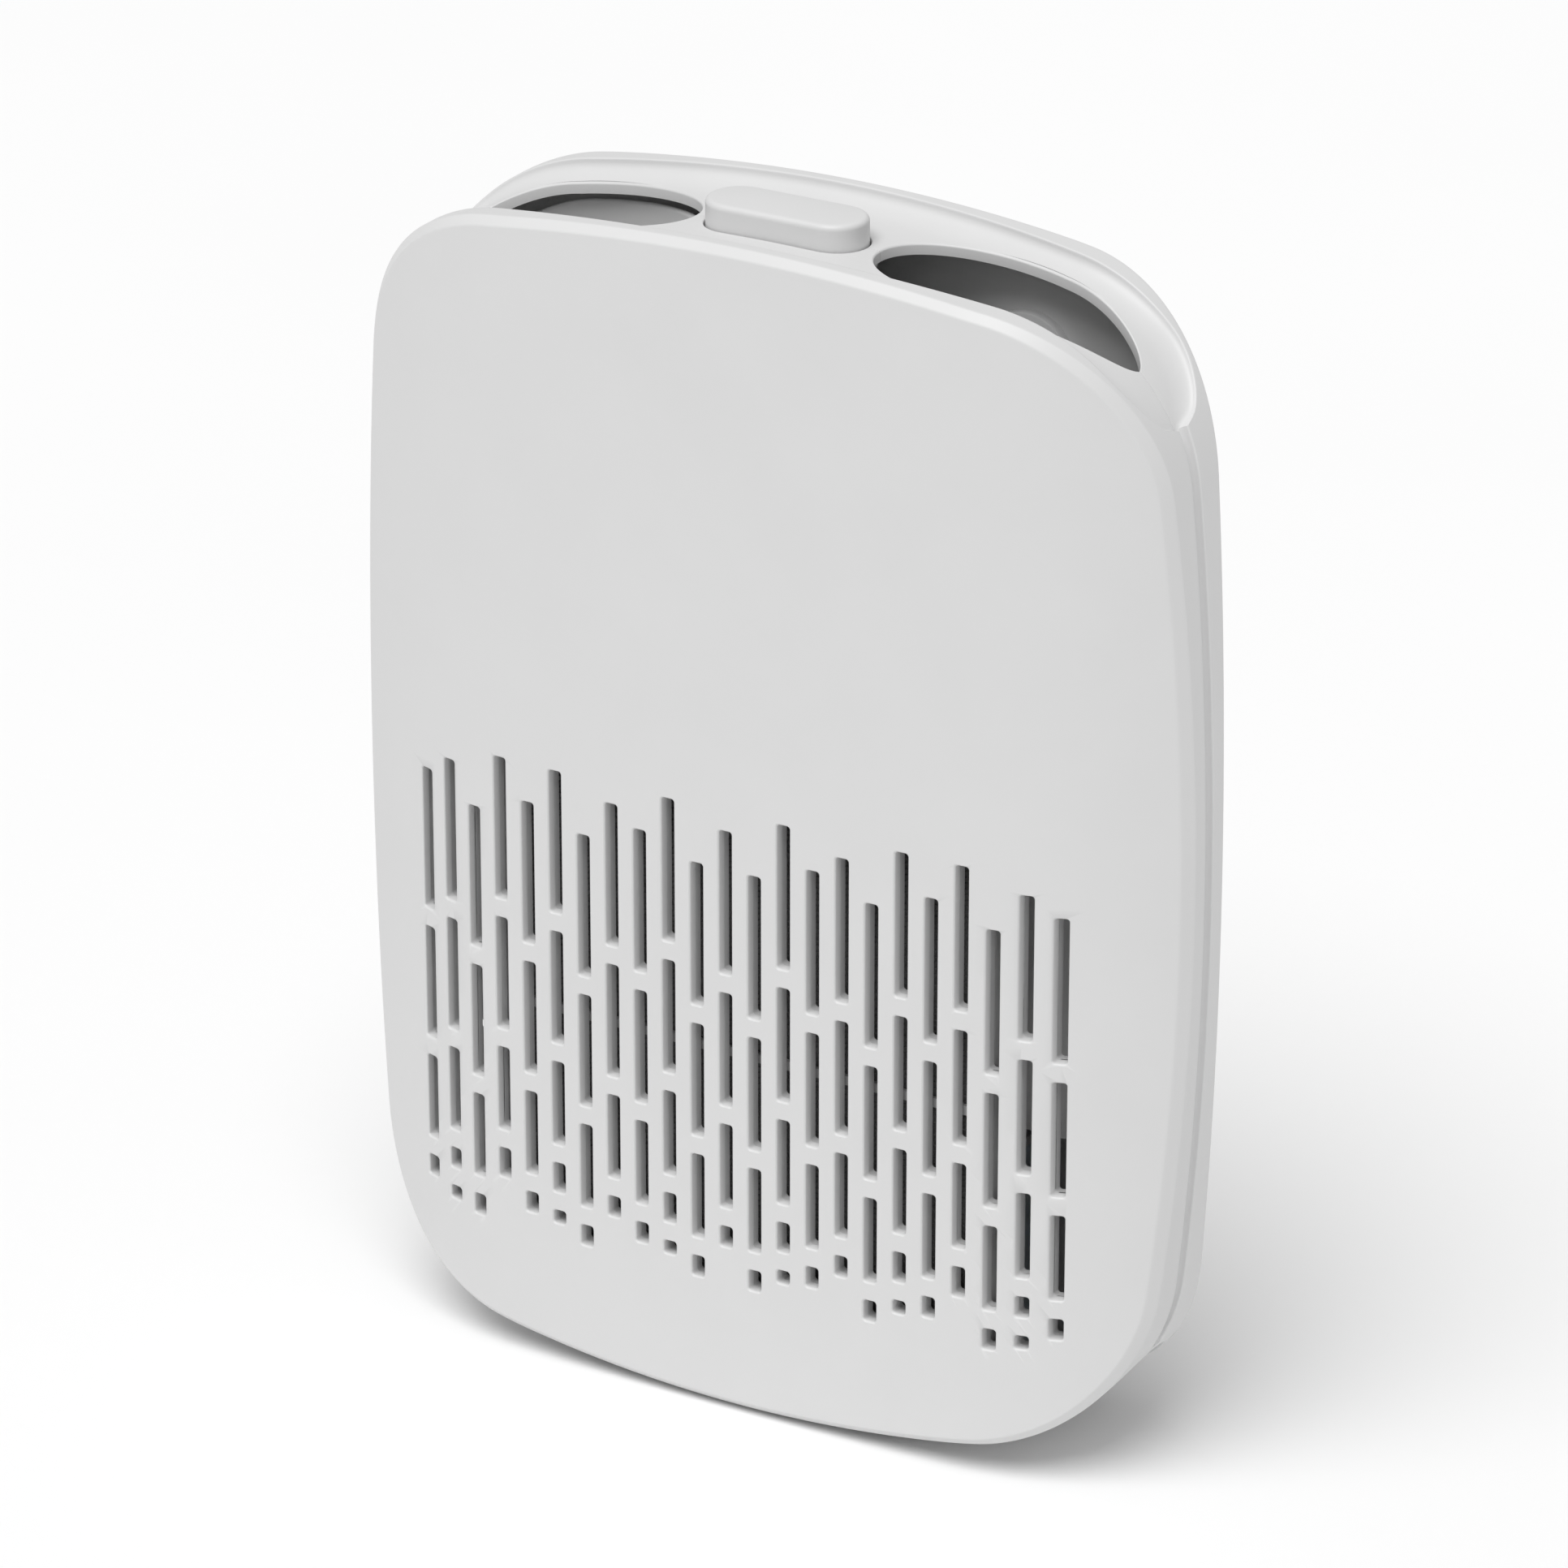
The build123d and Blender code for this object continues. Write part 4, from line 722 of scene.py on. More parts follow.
def barY(x, z, radius, y0, y1, count=40, start=0.0):  # a round bar along Y, as two rings
    ring = circle(x, z, radius, count, start)
    return [np.stack([ring[:, 0], np.full(count, y), ring[:, 1]], 1) for y in (y0, y1)]


def boxRings(x0, x1, y0, y1, z0, z1):
    corners = ((x0, y0), (x1, y0), (x1, y1), (x0, y1))
    return [np.array([(x, y, z) for x, y in corners]) for z in (z0, z1)]


def bossPlaces(d):
    return [(side * x, z, clamps) for x, z, clamps in d["places"] for side in (1, -1)]


def keyholeLoop(d, side):  # round head hole with a slot above it
    x, low, high = side * d["keyholeX"], d["keyholeZ"] - d["drop"] / 2, d["keyholeZ"] + d["drop"] / 2
    slotTurn = math.asin(d["slotRadius"] / d["headRadius"])
    lower = np.linspace(math.pi / 2 + slotTurn, 2.5 * math.pi - slotTurn, 30)
    upperTurn = np.linspace(0, math.pi, 14)
    head = np.stack([x + d["headRadius"] * np.cos(lower), low + d["headRadius"] * np.sin(lower)], 1)
    slot = np.stack([x + d["slotRadius"] * np.cos(upperTurn), high + d["slotRadius"] * np.sin(upperTurn)], 1)
    return np.concatenate([head, slot])


def frontInside(d):
    bodies = []
    for x, z, clamps in bossPlaces(d):
        outer = float(faceY(shell, np.array([abs(x) + d["bossRadius"]]))[0]) - shell["wall"] / 2
        bodies.append(barY(x, z, d["bossRadius"], -outer, -d["plateFront"] if clamps else -0.05))
    return loftGroup("frontInside", bodies)


def frontHoles(d):
    return loftGroup("frontHoles",
                     [barY(x, z, d["pilotHole"], -d["pilotDepth"], 1.0) for x, z, _ in bossPlaces(d)])


def rearInside(d):
    wallIn = shell["wall"] / 2

    def reach(x):
        return float(faceY(shell, np.array([x]))[0]) - wallIn

    bodies = []
    for x, z, clamps in bossPlaces(d):
        low, high = d["plateBack"] if clamps else 0.05, reach(abs(x) + d["bossRadius"])
        bodies.append(barY(x, z, d["bossRadius"], low, high, start=d["bossTurn"]))
    for side in (1, -1):
        floor = reach(d["keyholeX"]) + wallIn - d["cupDepth"] - shell["wall"]
        cup = [barY(side * d["keyholeX"], d["keyholeZ"], d["cupRadius"] - inset, floor + up, floor + up,
                    64)[0]
               for inset, up in ((0.5, 0.0), (0.15, 0.15), (0.0, 0.5))]
        cup.append(barY(side * d["keyholeX"], d["keyholeZ"], d["cupRadius"], 0, reach(d["keyholeX"]), 64)[1])
        bodies.append(cup)
    bodies.append(barY(d["jackX"], d["jackZ"], d["jackBoss"],
                       reach(d["jackX"]) + wallIn - d["jackSeat"] - shell["wall"], reach(d["jackX"])))
    top, half = d["shelfTop"], d["shelfHalf"]
    bodies.append(boxRings(-half, half, d["shelfFront"], reach(half), top - d["shelfThick"], top))
    return loftGroup("rearInside", bodies)


def ribs(d):  # gussets under the shelf
    bodies = []
    top, back = d["shelfTop"] - 0.5, shell["halfDepth"] - shell["wall"] / 2
    for side in (1, -1):
        x = side * (d["shelfHalf"] - 3.0)
        corners = ((d["ribFront"], top), (back, top), (back, top - d["ribDrop"] + 3.0))
        bodies.append([np.array([(u, y, z) for y, z in corners]) for u in (x, x + d["ribThick"])])
    return loftGroup("ribs", bodies)


def rearHoles(d):
    place = onFace(1)
    deep = []
    for x, z, _ in bossPlaces(d):  # shank and counterbore in one stepped tool
        head = holeRings(circle(x, z, d["headHole"], 40, d["holeTurn"]), 5.0, d["edge"], place, 4.0)
        head[0][:, 1] = d["headSeat"]
        deep.append(barY(x, z, d["screwHole"], -1.0, d["headSeat"], start=d["holeTurn"]) + head)
    for side in (1, -1):
        deep.append(holeRings(keyholeLoop(d, side), shell["wall"] + 0.6, d["edge"], place, 4.0))
    deep.append(holeRings(circle(d["jackX"], d["jackZ"], d["jackFlange"]), d["jackSeat"], d["edge"] * 0.7,
                          place, 4.0))
    face = float(faceY(shell, np.array([d["keyholeX"]]))[0])
    hollow = [barY(side * d["keyholeX"], d["keyholeZ"], d["cupRadius"] - shell["wall"], face - d["cupDepth"],
                   face - d["cupSkin"], 56) for side in (1, -1)]
    jack = barY(d["jackX"], d["jackZ"], d["jackRadius"], 5.0, 40.0)
    return [loftGroup("hollow", hollow), loftGroup("rearDeep", deep), loftGroup("jackHole", [jack])]


# front shell
frontShell = shellBody("frontShell", -1)
carve(frontShell, frontInside(inside), "UNION")
carve(frontShell, frontHoles(inside))
carve(frontShell, topCutters())
carve(frontShell, tankWay())
carve(frontShell, slotCutters(shellAbs))
finishShading(frontShell, shellAbs, -1)
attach(frontShell, "housing")
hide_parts("front_shell")
print("front shell:", len(frontShell.data.polygons), "faces")

# rear shell
rearShell = shellBody("rearShell", 1)
carve(rearShell, rearInside(inside), "UNION")
carve(rearShell, ribs(inside), "UNION")
for tool in rearHoles(inside):
    carve(rearShell, tool)
carve(rearShell, topCutters())
carve(rearShell, tankWay())
finishShading(rearShell, shellAbs, 1)
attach(rearShell, "housing")
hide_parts("rear_shell")
print("rear shell:", len(rearShell.data.polygons), "faces")

# button: a cap with a soft upper edge and a slight crown, hollow, with a lip under the channel's floor
cap = {"lip": 1.8, "lipLow": 291.05, "lipHigh": 294.2, "wall": 1.6, "inside": 302.3, "edge": 1.4,
       "crown": 0.25,
       "stemRadius": 2.8, "stemLow": 286.65, "collarOuter": 3.8, "collarInner": 3.2, "collarLow": 291.2,
       "springSeat": 292.0, "springX": 12.0}


def capRing(amount, z, count=40):
    plan = stadium(button["length"] + 2 * amount, button["width"] + 2 * amount, count)
    return np.column_stack([plan, np.full(len(plan), z)])


def capRings(d):
    top = button["top"]
    rings = [capRing(-d["wall"] - 1.0, d["inside"]), capRing(-d["wall"], d["inside"] - 1.0),
             capRing(-d["wall"], d["lipLow"]), capRing(d["lip"] - 0.2, d["lipLow"]),
             capRing(d["lip"], d["lipLow"] + 0.2),
             capRing(d["lip"], d["lipHigh"]), capRing(0.0, d["lipHigh"])]
    for share in (0.35, 0.7, 0.95):
        rings.append(capRing(0.0, d["lipHigh"] + (top - d["edge"] - d["lipHigh"]) * share))
    for k in range(9):
        a = math.radians(90 * k / 8)
        rings.append(capRing(-d["edge"] * (1 - math.cos(a)),
                             top - d["crown"] - d["edge"] * (1 - math.sin(a))))
    reach = button["width"] / 2 - d["edge"]
    for k in range(1, 9):
        share = k / 8.3
        rings.append(capRing(-d["edge"] - reach * share, top - d["crown"] * (1 - share) ** 2))
    return rings


def stemZ(x, y, radius, z0, z1, count=32):  # an upright round bar, as two rings
    ring = circle(x, y, radius, count)
    return [np.column_stack([ring, np.full(count, z)]) for z in (z0, z1)]


powerButton = loft("powerButton", capRings(cap))
carve(powerButton,
      loftGroup("capInside", [stemZ(0, 0, cap["stemRadius"], cap["stemLow"], cap["inside"] + 0.4)] + [
    stemZ(s * cap["springX"], 0, cap["collarOuter"], cap["collarLow"],
          cap["inside"] + 0.4) for s in (1, -1)]), "UNION")
carve(powerButton, loftGroup("springSeats", [
    stemZ(s * cap["springX"], 0, cap["collarInner"], cap["collarLow"] - 1, cap["springSeat"]) for s in (1,
                                                                                                        -1)]))
finishShading(powerButton, shellAbs, sharp=50)
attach(powerButton, "button")
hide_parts("power_button")
print("button ready")

# outlet duct: an oval tube whose rounded rim follows the channel's floor, on a floor with the blower's mouth
duct = {"x": -59.0, "halfX": 35.5, "halfY": 21.5, "wall": 1.8, "low": 247.05, "floor": 2.0, "below": 10.0,
        "rim": 0.88, "mouth": (-85.2, -54.8, -13.2, 11.2)}


def outlineHeight(x, inset):  # height over this x of the outline's top, set in
    points = (ringPoints - ringNormals * inset)[upper & (ringPoints[:, 0] >= 0)]
    order = np.argsort(points[:, 0])
    return np.interp(np.abs(x), points[order, 0], points[order, 1])


def ductRing(d, shrink, below, z=None, count=112):
    turn = np.linspace(0, 2 * math.pi, count, endpoint=False)
    x, y = d["x"] + (d["halfX"] - shrink) * np.cos(turn), (d["halfY"] - shrink) * np.sin(turn)
    high = outlineHeight(x, d["below"]) - below if z is None else np.full(count, z)
    return np.stack([x, y, high], 1)


def ductRings(d):
    thick, rimRadius = d["wall"], d["rim"]
    rings = [ductRing(d, 0.4, 0, d["low"]), ductRing(d, 0, 0, d["low"] + 0.4)]
    for k in range(7):
        a = math.radians(15 * k)
        rings.append(ductRing(d, rimRadius * (1 - math.cos(a)), rimRadius * (1 - math.sin(a))))
    for k in range(7):
        a = math.radians(15 * k)
        rings.append(ductRing(d, thick - rimRadius * (1 - math.sin(a)), rimRadius * (1 - math.cos(a))))
    rings += [ductRing(d, thick, 0, d["low"] + d["floor"] + 1.0),
              ductRing(d, thick + 0.3, 0, d["low"] + d["floor"] + 0.3),
              ductRing(d, thick + 1.0, 0, d["low"] + d["floor"])]
    return rings


outletDuct = loft("outletDuct", ductRings(duct))
carve(outletDuct, loft("ductMouth", boxRings(*duct["mouth"], duct["low"] - 5, duct["low"] + 8)))
finishShading(outletDuct, innerAbs, sharp=35)
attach(outletDuct, "housing")
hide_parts("outlet_duct")
print("duct ready")

# tank base: a bowed strip that closes the bottom channel, with rounded ends and pockets for the feet
base = {"inset": 1.7, "edge": 0.55, "clear": 0.3, "side": 0.6, "footX": 48.0, "footY": 9.5, "footRadius": 6.0,
        "bossRadius": 7.6, "bossLow": 2.4, "pocketTop": 3.45, "footHeight": 3.4, "footEdge": 0.8}


def footPlaces(d):
    return [(s * d["footX"], t * d["footY"]) for s in (1, -1) for t in (1, -1)]


def baseRings(d):
    c, s = channel, shell
    inner = {"groove": c["groove"] - d["clear"], "depth": c["depth"] - d["clear"]}
    depth = floorDepth(s, {**c, **inner}, ringPoints, ringNormals, ringWhich)
    end = c["lowEnd"] - d["side"]
    x = ringPoints[:, 0] - ringNormals[:, 0] * d["inset"]
    rows = np.flatnonzero(~upper & (ringPoints[:, 1] < 60) & (np.abs(x) < end - 0.02))
    rows = rows[np.argsort(-x[rows])]
    rings = []
    for i in rows:
        half = float(channelHalf(c, np.array([x[i]]), c["lowEnd"])[0]) - d["side"]
        if abs(x[i]) > end - c["cornerRadius"]:
            reach = abs(x[i]) - (end - c["cornerRadius"])
            half = min(half,
                       half - c["cornerRadius"] + math.sqrt(max(c["cornerRadius"] ** 2 - reach ** 2, 0.3)))
        half = max(half, 0.4)
        e = min(d["edge"], 0.45 * half, 0.45 * max(depth[i] - d["inset"], 0.1))
        out, into = d["inset"], max(depth[i], d["inset"] + 0.1)
        ring = [(out + e * (1 - math.sin(a)),
                 half - e * (1 - math.cos(a))) for a in np.radians((0, 30, 60, 90))]
        ring += [(out, half * share) for share in (0.6, 0.2)]
        ring = [(into, half)] + ring
        ring = [(inset, y) for inset, y in ring] + [(inset, -y) for inset, y in ring[::-1]]
        flat = [ringPoints[i] - ringNormals[i] * inset for inset, _ in ring]
        rings.append(np.array([(px, y, pz) for (px, pz), (_, y) in zip(flat, ring)]))
    return rings


tankBase = loft("tankBase", baseRings(base))
bosses = []
for x, y in footPlaces(base):
    up = shell["bottom"] + shell["bottomRadius"] - math.sqrt((shell["bottomRadius"] - 2.7) ** 2 - x ** 2)
    boss = [stemZ(x, y, base["bossRadius"] - inset, z, z)[0] for inset, z in (
        (0.4, base["bossLow"]), (0.12, base["bossLow"] + 0.12), (0.0, base["bossLow"] + 0.4), (0.0, up))]
    bosses.append(boss)
carve(tankBase, loftGroup("footBosses", bosses), "UNION")
carve(tankBase, loftGroup("footPockets", [
    stemZ(x, y, base["footRadius"] + 0.05, -5.0, base["pocketTop"]) for x, y in footPlaces(base)]))
finishShading(tankBase, shellAbs, sharp=35)
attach(tankBase, "tank")
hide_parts("tank_base")


def footTree():
    # a disc raised through the rings of a rounded tread, with a shallow ring pressed into it
    tree, start, end = newTree("rubberFoot", {
        "Radius": floatInput(0.006), "Height": floatInput(0.0034), "Edge": floatInput(0.0008),
        "Material": ("NodeSocketMaterial", None)})
    inp = start.outputs

    maths = mathsIn(tree)
    disc = addNode(tree, "GeometryNodeMeshCircle", {"fill_type": "NGON", "Vertices": 48},
                   {"Radius": inp["Radius"]})
    position = addNode(tree, "GeometryNodeInputPosition").outputs[0]
    lift = addNode(tree, "ShaderNodeCombineXYZ", {}, {"Z": inp["Height"]}).outputs[0]
    body = addNode(tree, "GeometryNodeSetPosition", {},
                   {"Geometry": disc.outputs[0], "Offset": lift}).outputs[0]
    closed = body
    height, size, top = inp["Height"], inp["Radius"], None
    rings = [(maths("MULTIPLY", inp["Edge"], down),
              maths("SUBTRACT", inp["Radius"], maths("MULTIPLY", inp["Edge"], out)))
             for out, down in ((0.0, 1.0), (0.134, 0.5), (0.5, 0.134), (1.0, 0.0))]
    for share, down in ((0.7, 0.0), (0.66, 0.35), (0.52, 0.35), (0.48, 0.0)):
        rings.append((maths("MULTIPLY", inp["Edge"], down), maths("MULTIPLY", inp["Radius"], share)))
    for level, wide in rings:
        offset = addNode(tree, "ShaderNodeCombineXYZ", {}, {"Z": maths("SUBTRACT", level, height)}).outputs[0]
        raised = addNode(tree, "GeometryNodeExtrudeMesh",
                         {"mode": "FACES", "Individual": False, "Offset Scale": 1.0},
                         {"Mesh": body, "Offset": offset, **({"Selection": top} if top else {})})
        ratio = maths("DIVIDE", wide, size)
        scale = addNode(tree, "ShaderNodeCombineXYZ", {"Z": 1.0}, {"X": ratio, "Y": ratio}).outputs[0]
        moved = addNode(tree, "ShaderNodeVectorMath", {"operation": "MULTIPLY"},
                        {0: position, 1: scale}).outputs[0]
        body = addNode(tree, "GeometryNodeSetPosition", {}, {
            "Geometry": raised.outputs["Mesh"], "Selection": raised.outputs["Top"],
            "Position": moved}).outputs[0]
        height, size, top = level, wide, raised.outputs["Top"]
    joined = addNode(tree, "GeometryNodeJoinGeometry")
    for part in (body, addNode(tree, "GeometryNodeFlipFaces", {}, {"Mesh": closed}).outputs[0]):
        tree.links.new(part, joined.inputs[0])
    placed = addNode(tree, "GeometryNodeInstanceOnPoints", {},
                     {"Points": inp["Geometry"], "Instance": joined.outputs[0]})
    real = addNode(tree, "GeometryNodeRealizeInstances", {}, {"Geometry": placed.outputs[0]})
    made = addNode(tree, "GeometryNodeSetMaterial", {},
                   {"Geometry": real.outputs[0], "Material": inp["Material"]})
    tree.links.new(made.outputs[0], end.inputs[0])
    return tree


rubberFeet = grown(pointsObject("footPoints", [(x, y, 0) for x, y in footPlaces(base)]), footTree(), {
    "Radius": base["footRadius"] * mm, "Height": base["footHeight"] * mm, "Edge": base["footEdge"] * mm,
    "Material": rubberDark}, "rubberFeet")
bm = bmesh.new()
bm.from_mesh(rubberFeet.data)
bmesh.ops.remove_doubles(bm, verts=bm.verts, dist=1e-6)
bmesh.ops.recalc_face_normals(bm, faces=bm.faces)
bm.to_mesh(rubberFeet.data)
bm.free()
finishShading(rubberFeet, rubberDark)
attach(rubberFeet, "tank")
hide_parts("rubber_feet")
print("tank base and feet ready")

# screws, by Geometry Nodes
screws = {"recessWidth": 0.28, "recessLength": 1.25, "recessDepth": 0.55, "dome": 0.3, "sides": 28,
          "sets": (
              ("shellScrews", "shell_screws", "housing", (0, 1, 0), 1.43, 2.9, 2.2, 15.5),
              ("stackScrews", "stack_screws", "housing", (0, -1, 0), 1.43, 2.9, 2.2, 10.1),
              ("blowerScrews", "blower_screws", "housing", (0, 1, 0), 0.98, 2.0, 1.4, 5.4),
              ("boardScrews", "board_screws", "housing", (0, 1, 0), 0.98, 2.0, 1.4, 12.2),
              ("switchBoardScrews", "switch_board_screws", "housing", (0, 0, 1), 0.98, 2.0, 1.4, 3.8))}


def screwTree(d):
    # pan head on a plain shank, with a cross recess; the seat is at the point and the head stands along Z
    tree, start, end = newTree("panHeadScrew", {
        "Shank Radius": floatInput(0.0014), "Head Radius": floatInput(0.0029),
        "Head Height": floatInput(0.0022),
        "Length": floatInput(0.015), "Direction": ("NodeSocketVector", (0, 0, 1)),
        "Material": ("NodeSocketMaterial", None)})
    inp = start.outputs

    maths = mathsIn(tree)
    def moved(shape, height):
        lift = addNode(tree, "ShaderNodeCombineXYZ", {}, {"Z": height}).outputs[0]
        return addNode(tree, "GeometryNodeTransform", {}, {"Geometry": shape, "Translation": lift}).outputs[0]

    head = addNode(tree, "GeometryNodeMeshCylinder",
                   {"Vertices": d["sides"], "Side Segments": 6, "Fill Segments": 6},
                   {"Radius": inp["Head Radius"], "Depth": inp["Head Height"]})
    # the head's upper half is drawn down towards its edge
    position = addNode(tree, "GeometryNodeInputPosition").outputs[0]
    parts = addNode(tree, "ShaderNodeSeparateXYZ", {}, {0: position})
    flat = addNode(tree, "ShaderNodeVectorMath", {"operation": "MULTIPLY", 1: (1.0, 1.0, 0.0)}, {0: position})
    out = addNode(tree, "ShaderNodeVectorMath", {"operation": "LENGTH"},
                  {0: flat.outputs[0]}).outputs["Value"]
    share = maths("DIVIDE", out, inp["Head Radius"])
    high = maths("MAXIMUM", maths("DIVIDE", parts.outputs["Z"], inp["Head Height"]), 0.0)
    fall = maths("MULTIPLY", maths("MULTIPLY", maths("POWER", share, 3.0), high), inp["Head Height"])
    drop = addNode(tree, "ShaderNodeCombineXYZ", {},
                   {"Z": maths("MULTIPLY", fall, -2.0 * d["dome"])}).outputs[0]
    domed = addNode(tree, "GeometryNodeSetPosition", {},
                    {"Geometry": head.outputs["Mesh"], "Offset": drop}).outputs[0]
    domed = moved(domed, maths("MULTIPLY", inp["Head Height"], 0.5))
    armLength = maths("MULTIPLY", inp["Head Radius"], d["recessLength"])
    thin = maths("MULTIPLY", inp["Head Radius"], d["recessWidth"])
    deep = maths("MULTIPLY", inp["Head Height"], 2.0 * d["recessDepth"])
    arms = []
    for x, y in ((armLength, thin), (thin, armLength)):
        size = addNode(tree, "ShaderNodeCombineXYZ", {}, {"X": x, "Y": y, "Z": deep}).outputs[0]
        arm = addNode(tree, "GeometryNodeMeshCube", {}, {"Size": size}).outputs["Mesh"]
        arms.append(moved(arm, inp["Head Height"]))
    cut = addNode(tree, "GeometryNodeMeshBoolean", {"operation": "DIFFERENCE"}, {"Mesh 1": domed})
    for arm in arms:
        tree.links.new(arm, cut.inputs["Mesh 2"])
    shank = addNode(tree, "GeometryNodeMeshCylinder", {"Vertices": d["sides"]},
                    {"Radius": inp["Shank Radius"], "Depth": inp["Length"]})
    shank = moved(shank.outputs["Mesh"], maths("MULTIPLY", inp["Length"], -0.4999))
    whole = addNode(tree, "GeometryNodeJoinGeometry")
    for part in (cut.outputs[0], shank):
        tree.links.new(part, whole.inputs[0])
    turn = addNode(tree, "FunctionNodeAlignEulerToVector", {"axis": "Z"},
                   {"Vector": inp["Direction"]}).outputs[0]
    placed = addNode(tree, "GeometryNodeInstanceOnPoints", {},
                     {"Points": inp["Geometry"], "Instance": whole.outputs[0], "Rotation": turn})
    real = addNode(tree, "GeometryNodeRealizeInstances", {}, {"Geometry": placed.outputs[0]})
    made = addNode(tree, "GeometryNodeSetMaterial", {},
                   {"Geometry": real.outputs[0], "Material": inp["Material"]})
    tree.links.new(made.outputs[0], end.inputs[0])
    return tree


def islandBoxes(node):  # the box of each separate solid of a CAD node, in metres
    bm = bmesh.new()
    bm.from_mesh(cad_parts[node].data)
    bmesh.ops.remove_doubles(bm, verts=bm.verts, dist=1e-7)
    seen, boxes = set(), []
    for vert in bm.verts:
        if vert in seen:
            continue
        stack, island = [vert], []
        seen.add(vert)
        while stack:
            v = stack.pop()
            island.append(v.co.copy())
            for edge in v.link_edges:
                other = edge.other_vert(v)
                if other not in seen:
                    seen.add(other)
                    stack.append(other)
        low = Vector([min(p[k] for p in island) for k in range(3)])
        high = Vector([max(p[k] for p in island) for k in range(3)])
        boxes.append((low, high))
    bm.free()
    return boxes


screwMaker = screwTree(screws)
for name, node, body, way, shank, head, height, length in screws["sets"]:
    axis = max(range(3), key=lambda k: abs(way[k]))
    seats = []
    for low, high in islandBoxes(node):
        seat = (low + high) / 2
        seat[axis] = high[axis] - height * mm if way[axis] > 0 else low[axis] + height * mm
        seats.append(seat / mm)
    made = grown(pointsObject(name + "Points", seats), screwMaker,
                 {"Shank Radius": shank * mm, "Head Radius": head * mm, "Head Height": height * mm,
                  "Length": length * mm, "Direction": way, "Material": zincSteel}, name)
    finishShading(made, zincSteel)
    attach(made, body)
    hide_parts(node)
print("screws ready")

# filter: woven net in front of a thin cloth
net = {"pitch": 1.5, "strand": 0.42, "clothThick": 0.3}


def netTree():
    # strands across and strands down, one half above and one half below each other
    tree, start, end = newTree("filterNet", {
        "Width": floatInput(0.13), "Height": floatInput(0.13), "Pitch": floatInput(0.0015),
        "Strand": floatInput(0.0004), "Material": ("NodeSocketMaterial", None)})
    inp = start.outputs

    maths = mathsIn(tree)
    parts = []
    for across, along, y in (("Width", "Height", 0.3), ("Height", "Width", -0.3)):
        count = maths("FLOOR", maths("DIVIDE", inp[across], inp["Pitch"]), 0.0)
        first = maths("MULTIPLY", maths("MULTIPLY", maths("SUBTRACT", count, 1.0), inp["Pitch"]), -0.5)
        shift = maths("MULTIPLY", inp["Strand"], y)
        name = "X" if across == "Width" else "Z"
        begin = addNode(tree, "ShaderNodeCombineXYZ", {}, {name: first, "Y": shift}).outputs[0]
        step = addNode(tree, "ShaderNodeCombineXYZ", {}, {name: inp["Pitch"]}).outputs[0]
        line = addNode(tree, "GeometryNodeMeshLine", {"mode": "OFFSET"},
                       {"Count": count, "Start Location": begin, "Offset": step}).outputs[0]
        turn = (0.0, 0.0, 0.0) if across == "Width" else (0.0, math.pi / 2, 0.0)
        strand = addNode(tree, "GeometryNodeMeshCylinder", {"Vertices": 6},
                         {"Radius": maths("MULTIPLY", inp["Strand"], 0.5), "Depth": inp[along]})
        parts.append(addNode(tree, "GeometryNodeInstanceOnPoints", {"Rotation": turn},
                             {"Points": line, "Instance": strand.outputs["Mesh"]}).outputs[0])
    both = addNode(tree, "GeometryNodeJoinGeometry")
    for part in parts:
        tree.links.new(part, both.inputs[0])
    placed = addNode(tree, "GeometryNodeInstanceOnPoints", {},
                     {"Points": inp["Geometry"], "Instance": both.outputs[0]})
    real = addNode(tree, "GeometryNodeRealizeInstances", {}, {"Geometry": placed.outputs[0]})
    made = addNode(tree, "GeometryNodeSetMaterial", {},
                   {"Geometry": real.outputs[0], "Material": inp["Material"]})
    tree.links.new(made.outputs[0], end.inputs[0])
    return tree


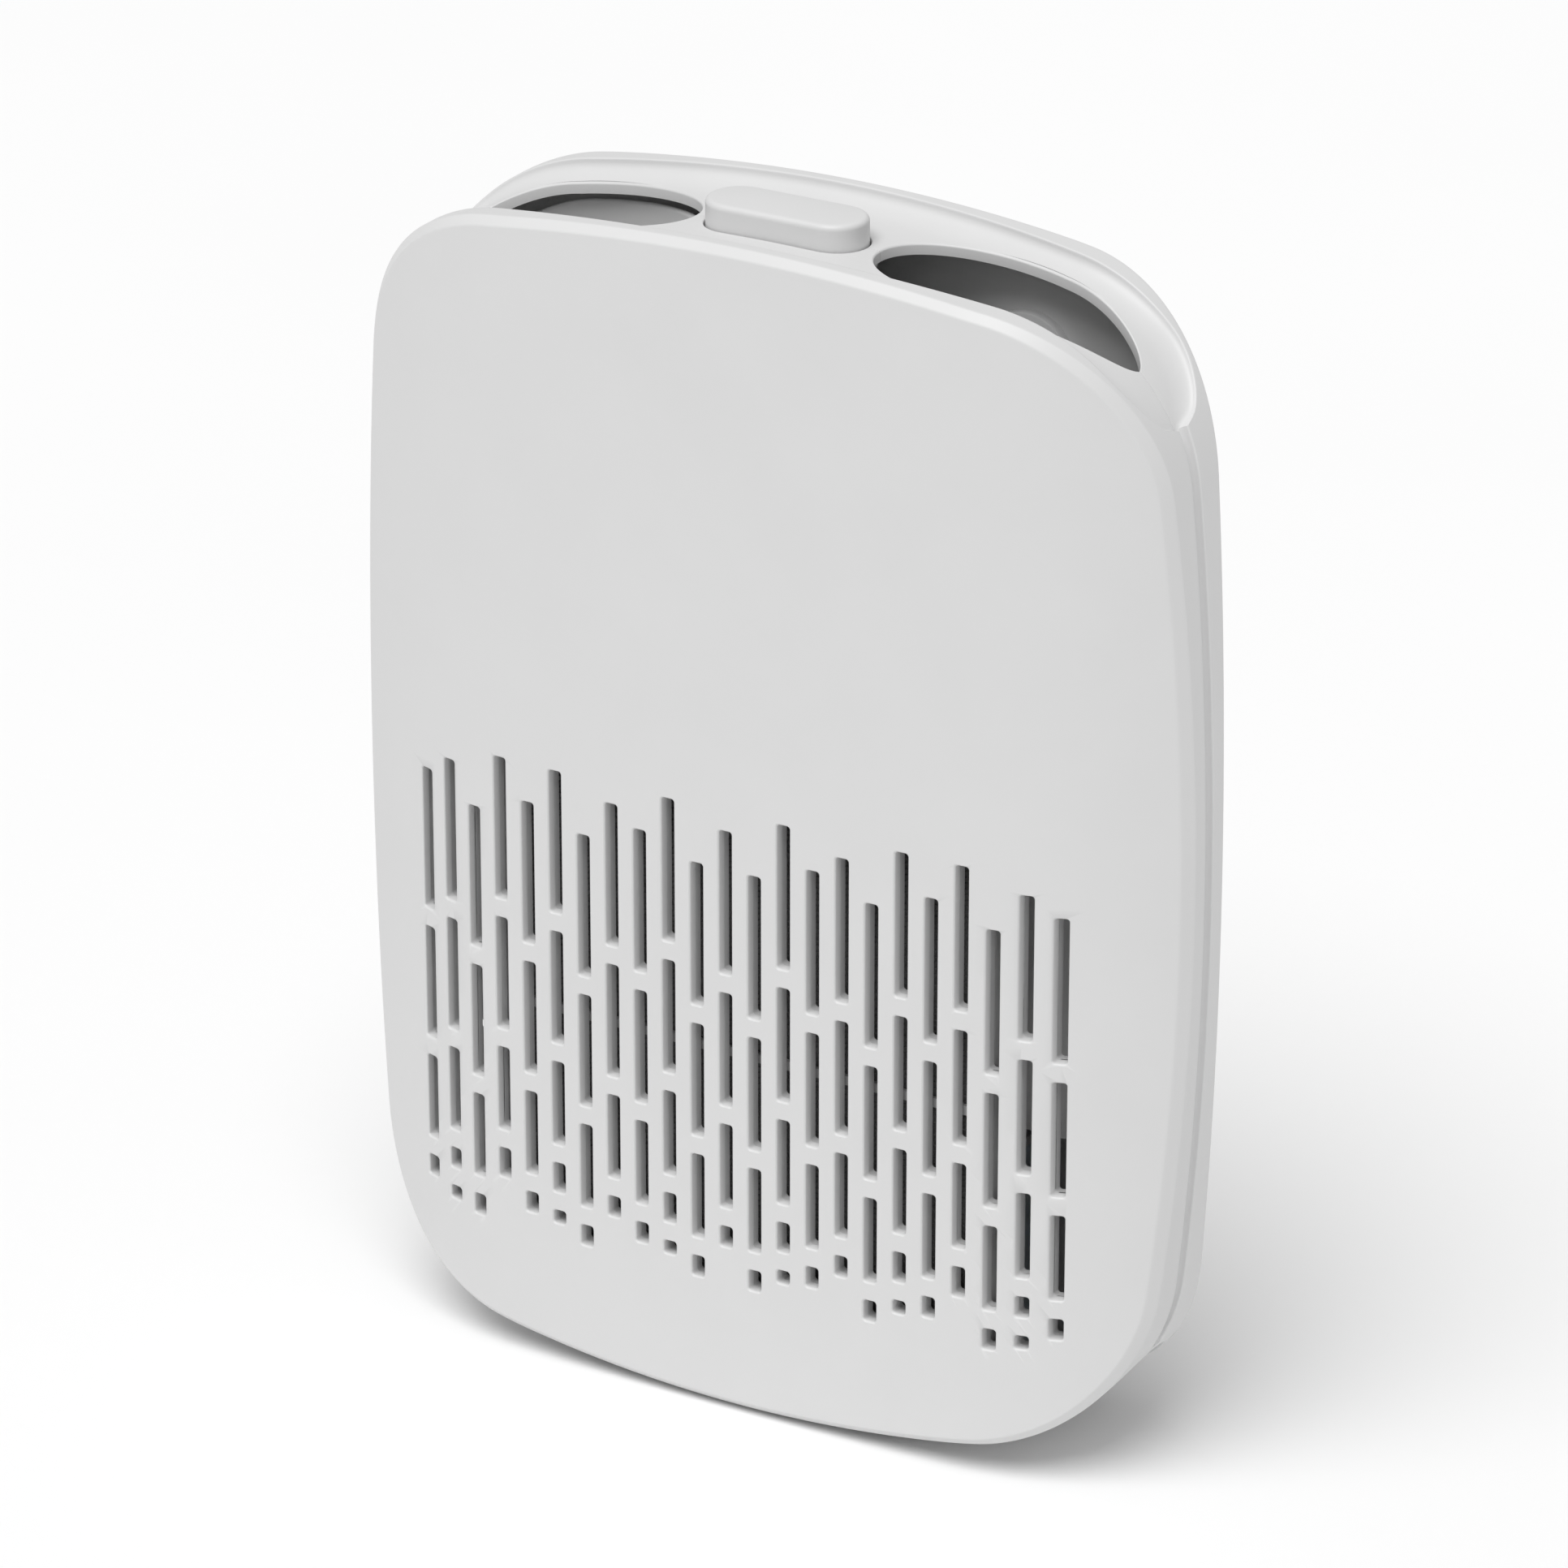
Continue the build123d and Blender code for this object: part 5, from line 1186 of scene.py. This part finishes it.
netLow, netHigh = (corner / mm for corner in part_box("filter_mesh"))
netMiddle = (netLow + netHigh) / 2
netMiddle[1] = netLow[1] + net["strand"]
filterNet = grown(pointsObject("netPoint", [netMiddle]), netTree(),
                  {"Width": (netHigh[0] - netLow[0]) * mm, "Height": (netHigh[2] - netLow[2]) * mm,
                   "Pitch": net["pitch"] * mm, "Strand": net["strand"] * mm, "Material": netCloth},
                   "filterNet")
finishShading(filterNet, netCloth)
clothFront = netLow[1] + 2.2 * net["strand"]
filterCloth = loftGroup("filterCloth",
                        [boxRings(netLow[0], netHigh[0], clothFront, clothFront + net["clothThick"],
                                                 netLow[2], netHigh[2])])
finishShading(filterCloth, filterFelt)
for piece in (filterNet, filterCloth):
    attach(piece, "housing")
    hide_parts("filter_mesh")
print("filter ready")

# floor, light and background
studio = {"world": 0.45, "sunStrength": 2.2, "sunSpread": 45.0, "sunElevation": 66.0, "sunAzimuth": 2.0}


def stagePlane(name, size, material):
    mesh = bpy.data.meshes.new(name)
    mesh.from_pydata([(-size, -size, 0), (size, -size, 0), (size, size, 0), (-size, size, 0)], [],
                     [(0, 1, 2, 3)])
    obj = bpy.data.objects.new(name, mesh)
    obj.data.materials.append(material)
    bpy.context.collection.objects.link(obj)
    return obj


paper = plastic("matPaper", "f3f3f3", "f6f6f6", 0.85, 2.0, 300.0, 0.005)
stagePlane("floor", 12.0, paper)

world = bpy.data.worlds.new("studio")
bpy.context.scene.world = world
world.use_nodes = True
world.node_tree.nodes["Background"].inputs["Color"].default_value = (1, 1, 1, 1)
world.node_tree.nodes["Background"].inputs["Strength"].default_value = studio["world"]

sun = bpy.data.lights.new("softbox", "SUN")
sun.energy, sun.angle = studio["sunStrength"], math.radians(studio["sunSpread"])
sunObject = bpy.data.objects.new("softbox", sun)
bpy.context.collection.objects.link(sunObject)
sunAz, sunEl = math.radians(studio["sunAzimuth"]), math.radians(studio["sunElevation"])
towards = Vector((math.sin(sunAz) * math.cos(sunEl), -math.cos(sunAz) * math.cos(sunEl), math.sin(sunEl)))
sunObject.matrix_world = towards.to_track_quat("Z", "Y").to_matrix().to_4x4()
bpy.context.scene.view_settings.view_transform = "Standard"  # whites stay white
